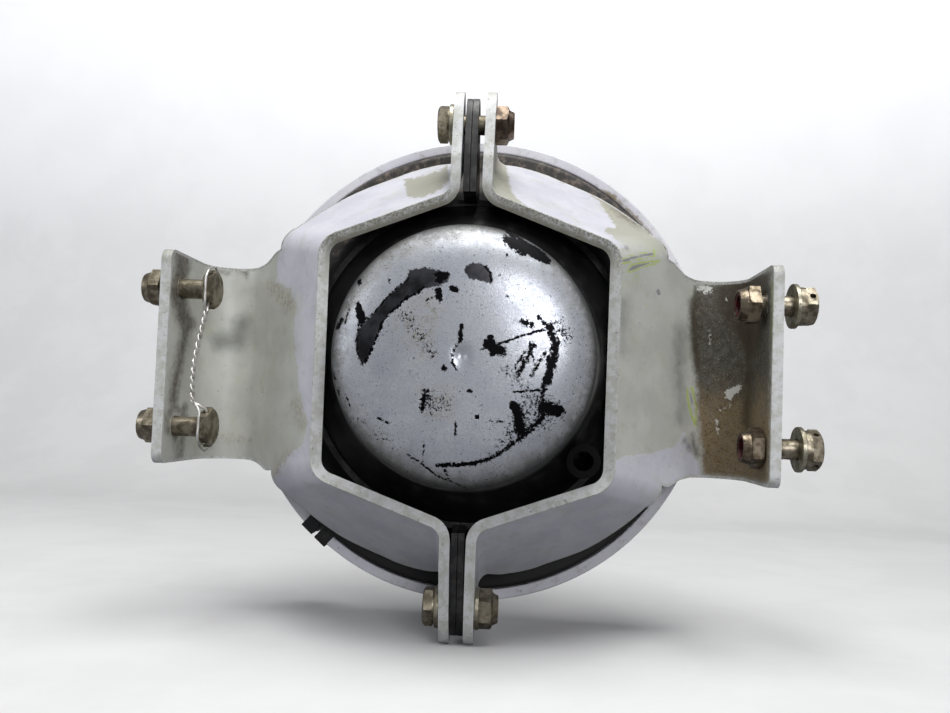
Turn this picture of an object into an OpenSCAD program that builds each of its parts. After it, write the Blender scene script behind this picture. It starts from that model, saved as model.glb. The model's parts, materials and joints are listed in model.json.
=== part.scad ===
// Aircraft landing light: sealed-beam lamp in a spun housing, carried by a
// two-piece hexagonal bracket that bolts up through a flange on each side.
//
// Frame: X across the two flanges, Z up, Y along the beam (the lens faces +Y,
// the dome faces -Y). The origin is on the beam axis, in the plane of the four
// mounting bolts. All sizes are in mm.

/* [Bracket] */
// Sheet thickness of the two brackets
plate_t = 3.2; // [2.8:0.1:3.4]
// Half width of the hexagonal collar, to the inner face of its side wall
collar_half_w = 44; // [43.8:0.1:45]
// Height of the inner corner of the collar above the beam axis
collar_corner_z = 35.5; // [35:0.5:37]
// Gap between the two ears of one pair
ear_gap = 5.2; // [5:0.1:5.8]
// Distance from the beam axis to the inner face of a mounting flange
flange_face_x = 92.5; // [91:0.5:95]
// Half height of the channel saddle and of the flange
saddle_half_z = 33.8; // [32.4:0.2:34]
// Drop of the saddle and its bolts below the middle of the collar
saddle_drop = 1.2; // [0:0.1:1.6]
// Distance between the two bolts of one flange
bolt_spacing = 44.4; // [42:0.2:46]
// Height of the clamp bolts above the beam axis
ear_bolt_z = 78.4; // [78:0.2:79.4]
// Lean of the left bracket about the beam axis, in degrees
left_lean = 0.67; // [0:0.01:0.7]
// Lean of the right bracket about the beam axis, in degrees
right_lean = 0.3; // [0:0.01:0.32]
// How far the left bracket stands out to its side
left_shift = 1; // [0.95:0.05:1.2]
// How far the right bracket stands in from its side
right_shift = 0.2; // [0:0.05:0.25]

/* [Fasteners] */
// Shank diameter of every bolt
shank_d = 6.35; // [6:0.05:6.4]
// Width across flats of the bolt heads and nuts
hex_af = 11.1; // [10.5:0.1:11.5]
// Outside diameter of the plain washers
washer_d = 14; // [12.5:0.5:14.5]
// Free length between the upper left head and its flange
left_play = 8.2; // [6:0.2:9]
// Free length between the left flange and the upper left nut
left_nut_play = 2.5; // [2:0.1:3]
// How much further in the lower left bolt lies than the upper one
left_stagger = 1.3; // [0:0.1:1.5]
// Free length under the right upper washer
right_upper_play = 5; // [4:0.2:6]
// Free length between the right flange and the upper right nut
right_upper_nut_play = 2.2; // [1:0.1:3]
// Free length under the right lower washer
right_lower_play = 7.1; // [6:0.1:8]
// Free length between the right flange and the lower right nut
right_lower_nut_play = 0.6; // [0.4:0.1:2]

/* [Housing and ring] */
// Radius of the rear dome at its shoulder
dome_r = 39.4; // [38.4:0.2:39.6]
// Depth of the dome from its shoulder to its crown
dome_depth = 9.2; // [8:0.2:10]
// Wall thickness of the spun housing
shell_t = 1.6; // [1.2:0.1:1.8]
// How far the retaining ring stands out from the housing's rim
ring_stand = 4.5; // [4:0.25:6]
// Thickness of the retaining ring's band
ring_t = 1.5; // [1.2:0.1:1.8]
// Thickness of the clamp band and of its lugs
band_t = 2; // [1.8:0.1:2.1]

/* [Lamp] */
// Diameter of the lamp at its rim
lamp_d = 146; // [144:0.5:148]
// Bulge of the lens beyond its rim
lens_bulge = 7.5; // [5:0.5:9]
// Glass thickness of the lamp
glass_t = 3; // [2.5:0.25:3.5]

/* [Hidden] */
$fn = 96;
eps = 0.01;

// Y of the main planes. "edge" is the rear edge of the collar.
edge_y = -3.5;
shoulder_y = edge_y - 14.8;
crown_y = shoulder_y - dome_depth;
band_y0 = 9.2;
band_y1 = 19.2;
skirt_r = collar_half_w + 8;
flange_y = 33.3;
lamp_r = lamp_d / 2;
rim_r = lamp_r + 5;
gasket_r = lamp_r - 2.4;
ring_r = rim_r + ring_stand;
rim_y = 39.5;
seat_y = 40.5;
lens_y = 43.5;
front_y = 47;
ring_y0 = 36.5;
ring_y1 = front_y + ring_t;
lip_r = rim_r + 0.8;
front_lip_r = lamp_r - 2.5;

// Bolts
shank_r = shank_d / 2;
hole_r = shank_r + 0.15;
nut_r = shank_r + 0.05;
head_l = 3.4;
shoulder_l = 2;
shoulder_r = 6;
ear_head_l = 3.8;
washer_t = 1.4;
lock_hex_l = 3.8;
lock_nut_l = 6.1;
insert_x = lock_hex_l + 0.4;
bolt_past = 0.3;
ear_bolt_y = 6.5;
face_gap = 0.08;
flange_out_x = flange_face_x + plate_t;

// Collar: slope of its oblique edge, flare of its panels, bend radii
slope = 20.5;
turn = 90 - slope;
rise = 0.665;
wall_x = collar_half_w + 3.2;
corner_z = collar_corner_z + 3.2 * (1 / cos(slope) - tan(slope));
bend_r = 7.9;
ear_bend_r = 4.5;
ear_x = ear_gap / 2 + plate_t;
bend_k = tan(turn / 2);
oblique_l = (wall_x - ear_x) / cos(slope);
ear_root_z = corner_z + oblique_l * sin(slope) + ear_bend_r * bend_k;
side_z = corner_z - bend_r * bend_k;
corner_rise = rise - tan(slope);

// Saddle: the wall turns forward at 45 degrees and bends back to the flange
saddle_r = 10;
saddle_x = flange_face_x - saddle_r;
saddle_y = saddle_x - wall_x + edge_y - saddle_r * sqrt(2);
wall_end_x = saddle_x - saddle_r / sqrt(2);
flange_y0 = edge_y - 6;

// A cylinder along +X from x0 to x1
module bar(x0, x1, r, r2 = -1) {
    translate([x0, 0, 0])
        rotate([0, 90, 0])
            cylinder(h = x1 - x0, r1 = r, r2 = r2 < 0 ? r : r2);
}

// A tube along +X
module collar_ring(x0, x1, r_out, r_in) {
    difference() {
        bar(x0, x1, r_out);
        bar(x0 - 1, x1 + 1, r_in);
    }
}

// A hexagonal block along +X, its corners eased at the x1 end; spin = 0 puts
// two corners at the top and bottom, 30 puts two flats there
module hex_block(x0, x1, af, spin = 0, ease = 0.7) {
    across = af / 2 / cos(30);
    intersection() {
        translate([x0, 0, 0])
            rotate([0, 90, 0])
                rotate([0, 0, spin])
                    cylinder(h = x1 - x0, r = across, $fn = 6);
        union() {
            bar(x0 - 1, x1 - ease, across + 1);
            bar(x1 - ease - eps, x1, across, af / 2 - 0.35);
        }
    }
}

// A bolt: head from x = 0 to head on a round shoulder, shank down to -len
module bolt(head, len, spin = 0, shoulder = 0.6, round_r = hex_af / 2 - 0.1) {
    union() {
        hex_block(shoulder, head, hex_af, spin);
        bar(0, shoulder + eps, round_r);
        bar(-len + 0.8, eps, shank_r);
        bar(-len, -len + 0.8 + eps, shank_r - 0.6, shank_r);
    }
}

// Two through holes for wire, drilled from flat to flat
module wire_holes(x, spin) {
    for (a = [spin - 60, spin])
        translate([x, 0, 0])
            rotate([a, 0, 0])
                cylinder(h = 20, r = 0.9, center = true, $fn = 24);
}

// Brackets

// One station of the bent sheet: near point (x, z) at the rear edge, far point
// (x, y, z), the angle of the sheet's normal in the XZ plane, and the ruling.
function station(nx, nz, fx, fy, fz, phi, rx, rz) =
    let (k = rx * cos(phi) + rz * sin(phi),
         n = [cos(phi), -k, sin(phi)] / norm([1, k]),
         back = 0.425 * plate_t * abs(n[1]),
         near = [nx, edge_y, nz],
         far = [fx, fy, fz])
    [near, far, far - plate_t * n, near - plate_t * n - back * [rx, 1, rz]];

// Height of the oblique panel at x, and its depth for a point (x, z) on it
function oblique_z(x) = corner_z + (wall_x - x) * tan(slope);
function oblique_y(x, z) = edge_y + (z - oblique_z(x)) / rise;

ear_far_y = edge_y + 28;
bend_steps = 5;
outline = [[13, 71.2], [18.8, 70.5], [24, 69.2], [28, 67.5], [33, 65.5],
           [38, 63.4], [42.7, 60.9], [47, 57.8], [51, 54.3], [54.6, 50.8],
           [57.6, 47.3]];

function ear_stations() = concat(
    [station(ear_x, ear_root_z + 1, ear_x, ear_far_y,
             ear_root_z + 1 + rise * 28, 0, 0, rise)],
    [for (i = [0:bend_steps])
        let (phi = turn * i / bend_steps,
             cx = ear_x + ear_bend_r - ear_bend_r * cos(phi),
             cz = ear_root_z - ear_bend_r * sin(phi))
        station(cx, cz, cx, ear_far_y, cz + rise * 28, phi, 0, rise)]);

function oblique_stations() =
    let (x0 = ear_x + ear_bend_r * (1 - cos(turn)),
         x1 = wall_x - bend_r * bend_k * cos(slope),
         n = len(outline))
    [for (i = [0:n - 1])
        let (u = (i + 1) / (n + 1),
             nx = x0 + (x1 - x0) * u,
             p = outline[i])
        station(nx, oblique_z(nx), p[0], oblique_y(p[0], p[1]), p[1],
                turn, u, rise - (rise - corner_rise) * u)];

// How far the sheet reaches forward at its corner bend
corner_reach = 17.5;

function corner_stations() =
    let (dy = corner_reach)
    [for (i = [0:bend_steps])
        let (phi = turn * (1 - i / bend_steps),
             cx = wall_x - bend_r + bend_r * cos(phi),
             cz = side_z + bend_r * sin(phi))
        station(cx, cz, cx + dy, edge_y + dy, cz + corner_rise * dy,
                phi, 1, corner_rise)];

function side_stations(end_z) =
    let (y_end = edge_y + wall_end_x - wall_x,
         low = end_z - saddle_half_z + saddle_drop)
    [station(wall_x, side_z - 0.7, wall_x + 20, edge_y + 20, 36.4 + 0.6 * low, 0, 1,
             corner_rise * 0.9),
     station(wall_x, side_z - 1.3, wall_x + 22.4, edge_y + 22.4, 34.6 + 0.9 * low, 0, 1,
             corner_rise * 0.8),
     station(wall_x, side_z - 1.9, wall_x + 24.8, edge_y + 24.8, 33.3 + low, 0, 1,
             corner_rise * 0.7),
     station(wall_x, side_z - 2.6, wall_end_x, y_end, end_z, 0, 1,
             corner_rise * 0.6),
     station(wall_x, 12, wall_end_x, y_end, 14, 0, 1, 0)];

function half_stations(end_z) =
    concat(ear_stations(), oblique_stations(), corner_stations(),
           side_stations(end_z));
upper_half = half_stations(saddle_half_z - saddle_drop);
lower_half = half_stations(saddle_half_z + saddle_drop);
function flip(s) = [for (p = s) [p[0], p[1], -p[2]]];
stations = concat(upper_half,
                  [for (i = [len(lower_half) - 1:-1:0]) flip(lower_half[i])]);

module flared_sheet() {
    n = len(stations);
    pts = [for (s = stations) for (p = s) p];
    walls = [for (i = [0:n - 2]) for (j = [0:3])
        let (a = 4 * i + j,
             b = 4 * i + (j + 1) % 4,
             c = 4 * (i + 1) + (j + 1) % 4,
             d = 4 * (i + 1) + j)
        each [[a, b, c], [a, c, d]]];
    caps = [[0, 2, 1], [0, 3, 2],
            [4 * n - 4, 4 * n - 3, 4 * n - 2], [4 * n - 4, 4 * n - 2, 4 * n - 1]];
    polyhedron(points = pts, faces = concat(walls, caps), convexity = 10);
}

// Flat parts sit this far inside the faces of the flared sheet that they join
inset = 0.01;

// Ear outline in (y, z), from the bend to the rounded tip
ear_outline = [[0, ear_root_z], [0, 64], [2.2, 73], [3.4, 79], [4.6, 83],
               [6, 86], [8, 88.6], [10.2, 89.7], [12.2, 88.8], [13.2, 86.4],
               [14, 83.8], [15.5, 81.3], [17.5, 79.3], [20, 77.8],
               [24, 76.6], [28, ear_root_z + 1 + rise * 28],
               [28, ear_root_z + rise * 28]];

module ear(side) {
    pts = [for (p = ear_outline) [p[0] + edge_y, p[1] * side]];
    difference() {
        translate([ear_gap / 2 + inset, 0, 0])
            rotate([90, 0, 90])
                linear_extrude(height = plate_t - 2 * inset)
                    polygon(pts);
        translate([0, ear_bolt_y, side * ear_bolt_z])
            bar(0, 20, hole_r);
    }
}

// Channel saddle: wall end, round bottom and flange, drawn in (x, y)
module saddle() {
    dir = [1, 1] / sqrt(2);
    nrm = [-1, 1] / sqrt(2);
    end = [wall_end_x, edge_y + wall_end_x - wall_x];
    start = end - 4 * dir;
    r0 = saddle_r + inset;
    r1 = saddle_r + plate_t - inset;
    arc = [for (i = [0:18])
        let (a = 135 - 135 * i / 18)
        [saddle_x + r0 * cos(a), saddle_y + r0 * sin(a)]];
    back = [for (i = [18:-1:0])
        let (a = 135 - 135 * i / 18)
        [saddle_x + r1 * cos(a), saddle_y + r1 * sin(a)]];
    translate([0, 0, -saddle_half_z - saddle_drop])
        linear_extrude(height = 2 * saddle_half_z)
            polygon(concat([start + inset * nrm], arc, back,
                           [start + (plate_t - inset) * nrm]));
}

// Flange with two rounded rear corners and two bolt holes
module flange() {
    r = 3.5;
    h = saddle_half_z;
    difference() {
        translate([flange_face_x, 0, 0])
            rotate([90, 0, 90])
                linear_extrude(height = plate_t)
                    union() {
                        translate([flange_y0 + r, -h])
                            square([saddle_y - flange_y0 - r, 2 * h]);
                        translate([flange_y0, -h + r])
                            square([r + 1, 2 * h - 2 * r]);
                        for (s = [-1, 1])
                            translate([flange_y0 + r, s * (h - r)])
                                circle(r = r, $fn = 48);
                    }
        for (s = [-1, 1])
            translate([0, 0, s * bolt_spacing / 2])
                bar(flange_face_x - 5, flange_out_x + 5, hole_r);
    }
}

module bracket() {
    union() {
        flared_sheet();
        ear(1);
        ear(-1);
        saddle();
        translate([0, 0, -saddle_drop])
            flange();
    }
}

module bracket_right() {
    color([0.60, 0.60, 0.66])
        translate([-right_shift, 0, 0])
            rotate([0, right_lean, 0])
                bracket();
}

module bracket_left() {
    color([0.62, 0.61, 0.67])
        translate([-left_shift, 0, 0])
            rotate([0, -left_lean, 0])
                mirror([1, 0, 0])
                    bracket();
}

// Clamp band

lug_outline = [[2, 54], [2, 64.5], [3.6, 72], [4.6, 79], [6.2, 84], [8.8, 87],
               [11.8, 87], [14.6, 84.6], [16.6, 80.5], [18, 74], [20.5, 66],
               [22.6, 60], [22.6, skirt_r + 0.6], [12.8, skirt_r + 0.6]];

// The two bands meet in one plane, which leans to the left ear at the top and
// lies midway between the ears at the bottom; lug_mid_x is its place at z = 0
lug_gap = 0.16;
lug_low_z = 87;
lug_low_x = -(left_shift + right_shift) / 2
    + lug_low_z * (tan(left_lean) - tan(right_lean)) / 2;
lug_top_x = band_t + 0.9 - ear_gap / 2 - left_shift - ear_bolt_z * tan(left_lean);
lug_lean = atan((lug_low_x - lug_top_x) / (ear_bolt_z + lug_low_z));
lug_mid_x = lug_low_x - lug_low_z * tan(lug_lean);

// Half of the band, for the +X side; the outer faces of its lugs are at lug_x
module band_half(lug_x) {
    difference() {
        union() {
            intersection() {
                translate([0, band_y0, 0])
                    rotate([-90, 0, 0])
                        cylinder(h = band_y1 - band_y0, r = skirt_r + 0.1 + band_t);
                translate([lug_x - band_t, -50, -100])
                    cube([100, 100, 200]);
            }
            for (s = [-1, 1])
                translate([lug_x - band_t, 0, 0])
                    rotate([90, 0, 90])
                        linear_extrude(height = band_t)
                            polygon([for (p = lug_outline)
                                [min(p[0], 22.7) + edge_y, p[1] * s]]);
        }
        translate([0, band_y0 - 5, 0])
            rotate([-90, 0, 0])
                cylinder(h = band_y1 - band_y0 + 10, r = skirt_r + 0.1);
        for (s = [-1, 1])
            translate([0, ear_bolt_y, s * ear_bolt_z])
                bar(-10, 20, hole_r);
    }
}

module clamp_band_right() {
    color([0.16, 0.16, 0.17])
        rotate([0, -lug_lean, 0])
            band_half(lug_mid_x + lug_gap / 2 + band_t);
}

module clamp_band_left() {
    color([0.15, 0.15, 0.16])
        rotate([0, -lug_lean, 0])
            mirror([1, 0, 0])
                band_half(-lug_mid_x + lug_gap / 2 + band_t);
}

// Housing

// Outer profile (r, y), from the crown of the dome to the front of the rim
dome_profile = [for (i = [0:14])
    let (t = 90 * i / 14)
    [dome_r * pow(sin(t), 2 / 3), shoulder_y - dome_depth * cos(t)]];
skirt_profile = [[dome_r + 0.9, shoulder_y + 5.5], [41.3, edge_y - 3],
                 [42, edge_y], [44.6, edge_y + 3.2],
                 [skirt_r, 8.4], [skirt_r, 19.9], [skirt_r + 2, 22.4], [rim_r - 15.5, 28.5],
                 [rim_r - 12, 31.4], [rim_r - 8.5, flange_y], [rim_r, flange_y],
                 [rim_r, rim_y]];
shell_profile = concat(dome_profile, skirt_profile);

function seg_n(a, b) = let (d = b - a) [-d[1], d[0]] / norm(d);
function inner_pt(p, i) =
    let (last = len(p) - 1,
         n0 = seg_n(p[max(i - 1, 0)], p[max(i, 1)]),
         n1 = seg_n(p[min(i, last - 1)], p[min(i + 1, last)]),
         m = (n0 + n1) / (1 + n0 * n1))
    p[i] + shell_t * m;
shell_inner = [for (i = [0:len(shell_profile) - 1])
    i == 0 ? shell_profile[0] + [0, shell_t] : inner_pt(shell_profile, i)];

boss_a = -39;
boss_r = 47.9;
boss_pos = [boss_r * cos(boss_a), 0, boss_r * sin(boss_a)];
boss_y0 = edge_y + 0.4;

module housing_shell() {
    n = len(shell_profile);
    color([0.24, 0.25, 0.27])
        difference() {
            union() {
                rotate([90, 0, 0])
                    mirror([0, 0, 1])
                        rotate_extrude()
                            polygon(concat(shell_profile,
                                [for (i = [n - 1:-1:0]) shell_inner[i]]));
                intersection() {
                    translate(boss_pos + [0, boss_y0, 0])
                        rotate([-90, 0, 0])
                            cylinder(h = 12, r = 5.8, $fn = 48);
                    rotate([90, 0, 0])
                        mirror([0, 0, 1])
                            rotate_extrude()
                                polygon([[30, -8], [60, -8], [60, 16],
                                         [skirt_r - 0.8, 8.6],
                                         [44.6 - 0.8, edge_y + 3.6],
                                         [42 - 0.8, edge_y + 0.3], [40, -8]]);
                }
            }
            translate(boss_pos + [0, boss_y0 - 5, 0])
                rotate([-90, 0, 0])
                    cylinder(h = 30, r = 4.6, $fn = 48);
        }
}

module cable_grommet() {
    color([0.06, 0.06, 0.06])
        translate(boss_pos)
            rotate([-90, 0, 0])
                difference() {
                    union() {
                        translate([0, 0, boss_y0 - 1.6])
                            cylinder(h = 1.6, r = 5.3, $fn = 48);
                        translate([0, 0, boss_y0 - 0.8])
                            cylinder(h = 9.5, r = 4.6, $fn = 48);
                    }
                    translate([0, 0, boss_y0 - 5])
                        cylinder(h = 30, r = 3, $fn = 48);
                }
}

// Clamp bolts through the ears

// Outer face of the left and of the right ear at height z
function ear_left_x(z) = -ear_x - left_shift - z * tan(left_lean) - face_gap;
function ear_right_x(z) = ear_x - right_shift + z * tan(right_lean) + face_gap;

// The bolt lies along X, its head at -X on a washer; under_nut is the thickness
// of the washer below the nut
module clamp_bolt(z, spin, under_nut) {
    x0 = ear_left_x(z) - washer_t;
    translate([x0, ear_bolt_y, z])
        mirror([1, 0, 0])
            bolt(ear_head_l, ear_right_x(z) + under_nut - x0 + 5, spin);
}

module clamp_washer(x, z) {
    translate([x, ear_bolt_y, z])
        collar_ring(0, washer_t, washer_d / 2 - 0.4, hole_r);
}

module clamp_nut(z, spin, under_nut) {
    translate([ear_right_x(z) + under_nut, ear_bolt_y, z])
        difference() {
            union() {
                hex_block(0, 4.2, hex_af, spin, 0.6);
                bar(4.2 - eps, 5.9, 5, 4.2);
            }
            bar(-1, 30, nut_r);
        }
}

module upper_clamp_bolt() {
    color([0.55, 0.50, 0.38])
        clamp_bolt(ear_bolt_z, 0, 0);
}

module upper_clamp_washer() {
    color([0.58, 0.56, 0.48])
        clamp_washer(ear_left_x(ear_bolt_z) - washer_t, ear_bolt_z);
}

module upper_clamp_nut() {
    color([0.56, 0.34, 0.20])
        clamp_nut(ear_bolt_z, 30, 0);
}

module lower_clamp_bolt() {
    color([0.52, 0.48, 0.36])
        clamp_bolt(-ear_bolt_z, 30, washer_t);
}

module lower_clamp_washers() {
    color([0.58, 0.56, 0.48])
        for (x = [ear_left_x(-ear_bolt_z) - washer_t, ear_right_x(-ear_bolt_z)])
            clamp_washer(x, -ear_bolt_z);
}

module lower_clamp_nut() {
    color([0.50, 0.46, 0.34])
        clamp_nut(-ear_bolt_z, 0, washer_t);
}

// Mounting bolts

left_face_x = flange_face_x + left_shift;
right_face_x = flange_face_x - right_shift;
hole_mid_x = flange_face_x + plate_t / 2;
left_head_x = left_play - left_face_x;
upper_head_x = right_face_x + plate_t + right_upper_play + washer_t;
lower_head_x = right_face_x + plate_t + right_lower_play + washer_t;

// Height of the upper (s = 1) or lower (s = -1) bolt of each flange
function left_z(s) = s * bolt_spacing / 2 - saddle_drop - hole_mid_x * sin(left_lean);
function right_z(s) = s * bolt_spacing / 2 - saddle_drop - hole_mid_x * sin(right_lean);
function left_step(s) = s > 0 ? 0 : left_stagger;

module left_mount_bolts() {
    grip = left_play + plate_t + left_nut_play;
    color([0.50, 0.46, 0.36])
        for (s = [-1, 1])
            translate([left_head_x + left_step(s), 0, left_z(s)])
                difference() {
                    bolt(head_l, grip + lock_hex_l + bolt_past, 0);
                    wire_holes(head_l / 2, 30);
                }
}

// Self-locking nut, drawn from x = 0 to -X: a hexagon, then a tapered collar
// with a counterbore of radius open_r
module lock_nut(spin, open_r) {
    mirror([1, 0, 0])
        difference() {
            union() {
                hex_block(0, lock_hex_l, hex_af, spin, 0.6);
                bar(lock_hex_l - eps, lock_nut_l, 5.3, 4.6);
            }
            bar(-1, 20, nut_r);
            bar(insert_x, 20, open_r);
        }
}

module left_mount_nuts() {
    color([0.52, 0.48, 0.38])
        for (s = [-1, 1])
            translate([left_step(s) - left_face_x - plate_t - left_nut_play, 0, left_z(s)])
                lock_nut(30, nut_r + 0.2);
}

module right_bolt(z, head_x, nut_play, spin) {
    tip_x = right_face_x - nut_play - lock_hex_l - bolt_past;
    translate([head_x, 0, z])
        difference() {
            bolt(shoulder_l + head_l, head_x - tip_x, spin, shoulder_l, shoulder_r);
            wire_holes(shoulder_l + head_l / 2, spin + 30);
        }
}

module right_washer(z, head_x) {
    translate([0, 0, z])
        collar_ring(head_x - washer_t, head_x, washer_d / 2, hole_r);
}

module right_nut(z, nut_play, spin) {
    translate([right_face_x - nut_play, 0, z])
        lock_nut(spin, 4);
}

module insert_ring(z, nut_play) {
    translate([right_face_x - nut_play, 0, z])
        mirror([1, 0, 0])
            collar_ring(insert_x, lock_nut_l - 0.2, 4, 2.9);
}

module right_upper_bolt() {
    color([0.50, 0.47, 0.36])
        right_bolt(right_z(1), upper_head_x, right_upper_nut_play, 30);
}

module right_upper_washer() {
    color([0.60, 0.58, 0.46])
        right_washer(right_z(1), upper_head_x);
}

module right_upper_nut() {
    color([0.54, 0.44, 0.34])
        right_nut(right_z(1), right_upper_nut_play, 30);
}

module right_upper_insert() {
    color([0.50, 0.07, 0.07])
        insert_ring(right_z(1), right_upper_nut_play);
}

module right_lower_bolt() {
    color([0.48, 0.45, 0.34])
        right_bolt(right_z(-1), lower_head_x, right_lower_nut_play, 0);
}

module right_lower_washer() {
    color([0.60, 0.58, 0.46])
        right_washer(right_z(-1), lower_head_x);
}

module right_lower_nut() {
    color([0.54, 0.44, 0.34])
        right_nut(right_z(-1), right_lower_nut_play, 0);
}

module right_lower_insert() {
    color([0.52, 0.07, 0.07])
        insert_ring(right_z(-1), right_lower_nut_play);
}

// Safety wire

wire_r = 0.42;
wire_x = left_head_x + head_l / 2;
low_x = wire_x + left_stagger;
up_z = left_z(1);
low_z = left_z(-1);
flat = hex_af / 2;

// Course of the twisted pair, from the upper head down to the lower one
pair_top = [wire_x, -4.6, up_z - 7.4];
pair_low = [wire_x - 2.4, -4.9, low_z + 8];
function pair_mid(u) =
    pair_top + (pair_low - pair_top) * u
    + [-1.6, -0.5, 0] * sin(180 * u) * (0.4 + 0.6 * u);

twist_n = 48;
twist_turns = 5.5;
function strand(phase) = [for (i = [0:twist_n])
    let (u = i / twist_n, a = 360 * twist_turns * u + phase)
    pair_mid(u) + 0.46 * [cos(a), sin(a), 0]];

// Unit vector of a drilled hole, as it leaves through the rear flats
hole_dir = [0, 0.5, 0.8660254];
function up_loop() = [
    [wire_x, 0, up_z] - hole_dir * (flat + 1.3),
    [wire_x, 0, up_z] - hole_dir * (flat - 1),
    [wire_x, 0, up_z],
    [wire_x, 0, up_z] + hole_dir * (flat - 1),
    [wire_x, 0, up_z] + hole_dir * (flat + 0.9),
    [wire_x, 2.1, up_z + flat + 1.5],
    [wire_x, 0.2, up_z + flat + 1.85],
    [wire_x, -2, up_z + flat + 1.3],
    [wire_x, -4.4, up_z + flat],
    [wire_x, -flat - 0.75, up_z + 3.3],
    [wire_x, -flat - 0.65, up_z],
    [wire_x, -flat - 0.6, up_z - 3],
    [wire_x, -flat - 0.5, up_z - 5]];

low_dir = [0, -hole_dir[1], hole_dir[2]];
function low_through() = [
    [low_x, 0, low_z] + low_dir * (flat + 1.2),
    [low_x, 0, low_z] + low_dir * (flat - 1),
    [low_x, 0, low_z],
    [low_x, 0, low_z] - low_dir * (flat - 1),
    [low_x, 0, low_z] - low_dir * (flat + 1),
    [low_x, 3.6, low_z - flat - 0.9]];

round_x = low_x - 0.9;
function low_round() = [
    [round_x, -flat - 0.4, low_z + 5],
    [round_x, -flat - 0.65, low_z + 3],
    [round_x, -flat - 0.65, low_z],
    [round_x, -flat - 0.75, low_z - 3.3],
    [round_x, -4.4, low_z - flat],
    [round_x, -2, low_z - flat - 1.3],
    [round_x, 0.2, low_z - flat - 1.85],
    [round_x, 2.1, low_z - flat - 1.5]];

// The first strand climbs the twist, passes the upper head and comes down as
// the second; each then takes its own way past the lower head.
function turned(v) = [for (i = [len(v) - 1:-1:0]) v[i]];
wire_path = concat(turned(low_through()), turned(strand(0)), up_loop(),
                   strand(180), low_round());

function along(p, i) =
    let (d = p[min(i + 1, len(p) - 1)] - p[max(i - 1, 0)]) d / norm(d);

// A round tube swept along a path of points
module tube(path, r, sides) {
    n = len(path);
    rings = [for (i = [0:n - 1])
        let (t = along(path, i),
             c = cross(t, [1, 0, 0]),
             e1 = c / norm(c),
             e2 = cross(e1, t))
        for (k = [0:sides - 1])
            path[i] + r * (cos(360 * k / sides) * e1 + sin(360 * k / sides) * e2)];
    skin = [for (i = [0:n - 2]) for (k = [0:sides - 1])
        let (a = i * sides + k,
             b = i * sides + (k + 1) % sides,
             c = a + sides,
             d = b + sides)
        each [[a, b, d], [a, d, c]]];
    cap0 = [for (k = [sides - 1:-1:0]) k];
    cap1 = [for (k = [0:sides - 1]) (n - 1) * sides + k];
    polyhedron(points = rings, faces = concat(skin, [cap0, cap1]), convexity = 10);
}

module safety_wire() {
    color([0.66, 0.66, 0.62])
        tube(wire_path, wire_r, 6);
}

// Retaining ring

split_a0 = 224.5;
split_a1 = 232.5;
split_mid = (split_a0 + split_a1) / 2;
lug_w = 5.1;
screw_r = 2;
screw_axis_r = ring_r - 1.9;
screw_y = ring_y1 + 4.4;
lug_y1 = screw_y + 4;

// Puts its children at the split: local +X radial, +Y along the beam, +Z
// tangential
module at_split() {
    rotate([0, -split_mid, 0])
        children();
}

module retaining_ring() {
    c = 1;
    profile = [[lip_r, ring_y0], [ring_r - c, ring_y0], [ring_r, ring_y0 + c],
               [ring_r, ring_y1 - c], [ring_r - c, ring_y1],
               [front_lip_r, ring_y1], [front_lip_r, front_y],
               [ring_r - ring_t, front_y], [ring_r - ring_t, ring_y0 + ring_t],
               [lip_r, ring_y0 + ring_t]];
    half = ring_r * sin((split_a1 - split_a0) / 2);
    color([0.80, 0.79, 0.84])
        difference() {
            rotate([90, 0, 0])
                mirror([0, 0, 1])
                    rotate_extrude($fn = 144)
                        polygon(profile);
            at_split()
                translate([50, 0, -half])
                    cube([60, 100, 2 * half]);
        }
}

module ring_lug(side) {
    half = ring_r * sin((split_a1 - split_a0) / 2);
    at_split()
        difference() {
            union() {
                translate([lip_r, ring_y0, side > 0 ? half - lug_w : -half])
                    cube([ring_r + 1.1 - lip_r, lug_y1 - ring_y0, lug_w]);
                translate([screw_axis_r - 4, ring_y1 + 0.4,
                           side > 0 ? half - lug_w : -half])
                    cube([8, lug_y1 - ring_y1 - 0.4, lug_w]);
            }
            translate([screw_axis_r, screw_y, -20])
                cylinder(h = 40, r = screw_r + 0.05, $fn = 48);
        }
}

module ring_lug_left() {
    color([0.08, 0.08, 0.08])
        ring_lug(-1);
}

module ring_lug_right() {
    color([0.09, 0.09, 0.09])
        ring_lug(1);
}

module ring_tension_screw() {
    half = ring_r * sin((split_a1 - split_a0) / 2);
    color([0.48, 0.46, 0.40])
        at_split()
            translate([screw_axis_r, screw_y, 0])
                difference() {
                    union() {
                        translate([0, 0, -half - 4.6])
                            cylinder(h = 2 * half + 4.7, r = screw_r, $fn = 48);
                        translate([0, 0, half])
                            cylinder(h = 2.6, r = 3.6, $fn = 48);
                    }
                    translate([-5, -0.5, half + 1.3])
                        cube([10, 1, 5]);
                }
}

module ring_tension_nut() {
    half = ring_r * sin((split_a1 - split_a0) / 2);
    color([0.50, 0.48, 0.42])
        at_split()
            translate([screw_axis_r, screw_y, -half - 3.2])
                difference() {
                    cylinder(h = 3.2, r = 4, $fn = 6);
                    translate([0, 0, -1])
                        cylinder(h = 6, r = screw_r + 0.05, $fn = 48);
                }
}

// Lamp

// Turns a profile (r, y) about the beam axis
module spin_y(profile) {
    rotate([90, 0, 0])
        mirror([0, 0, 1])
            rotate_extrude()
                polygon(profile);
}

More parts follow.
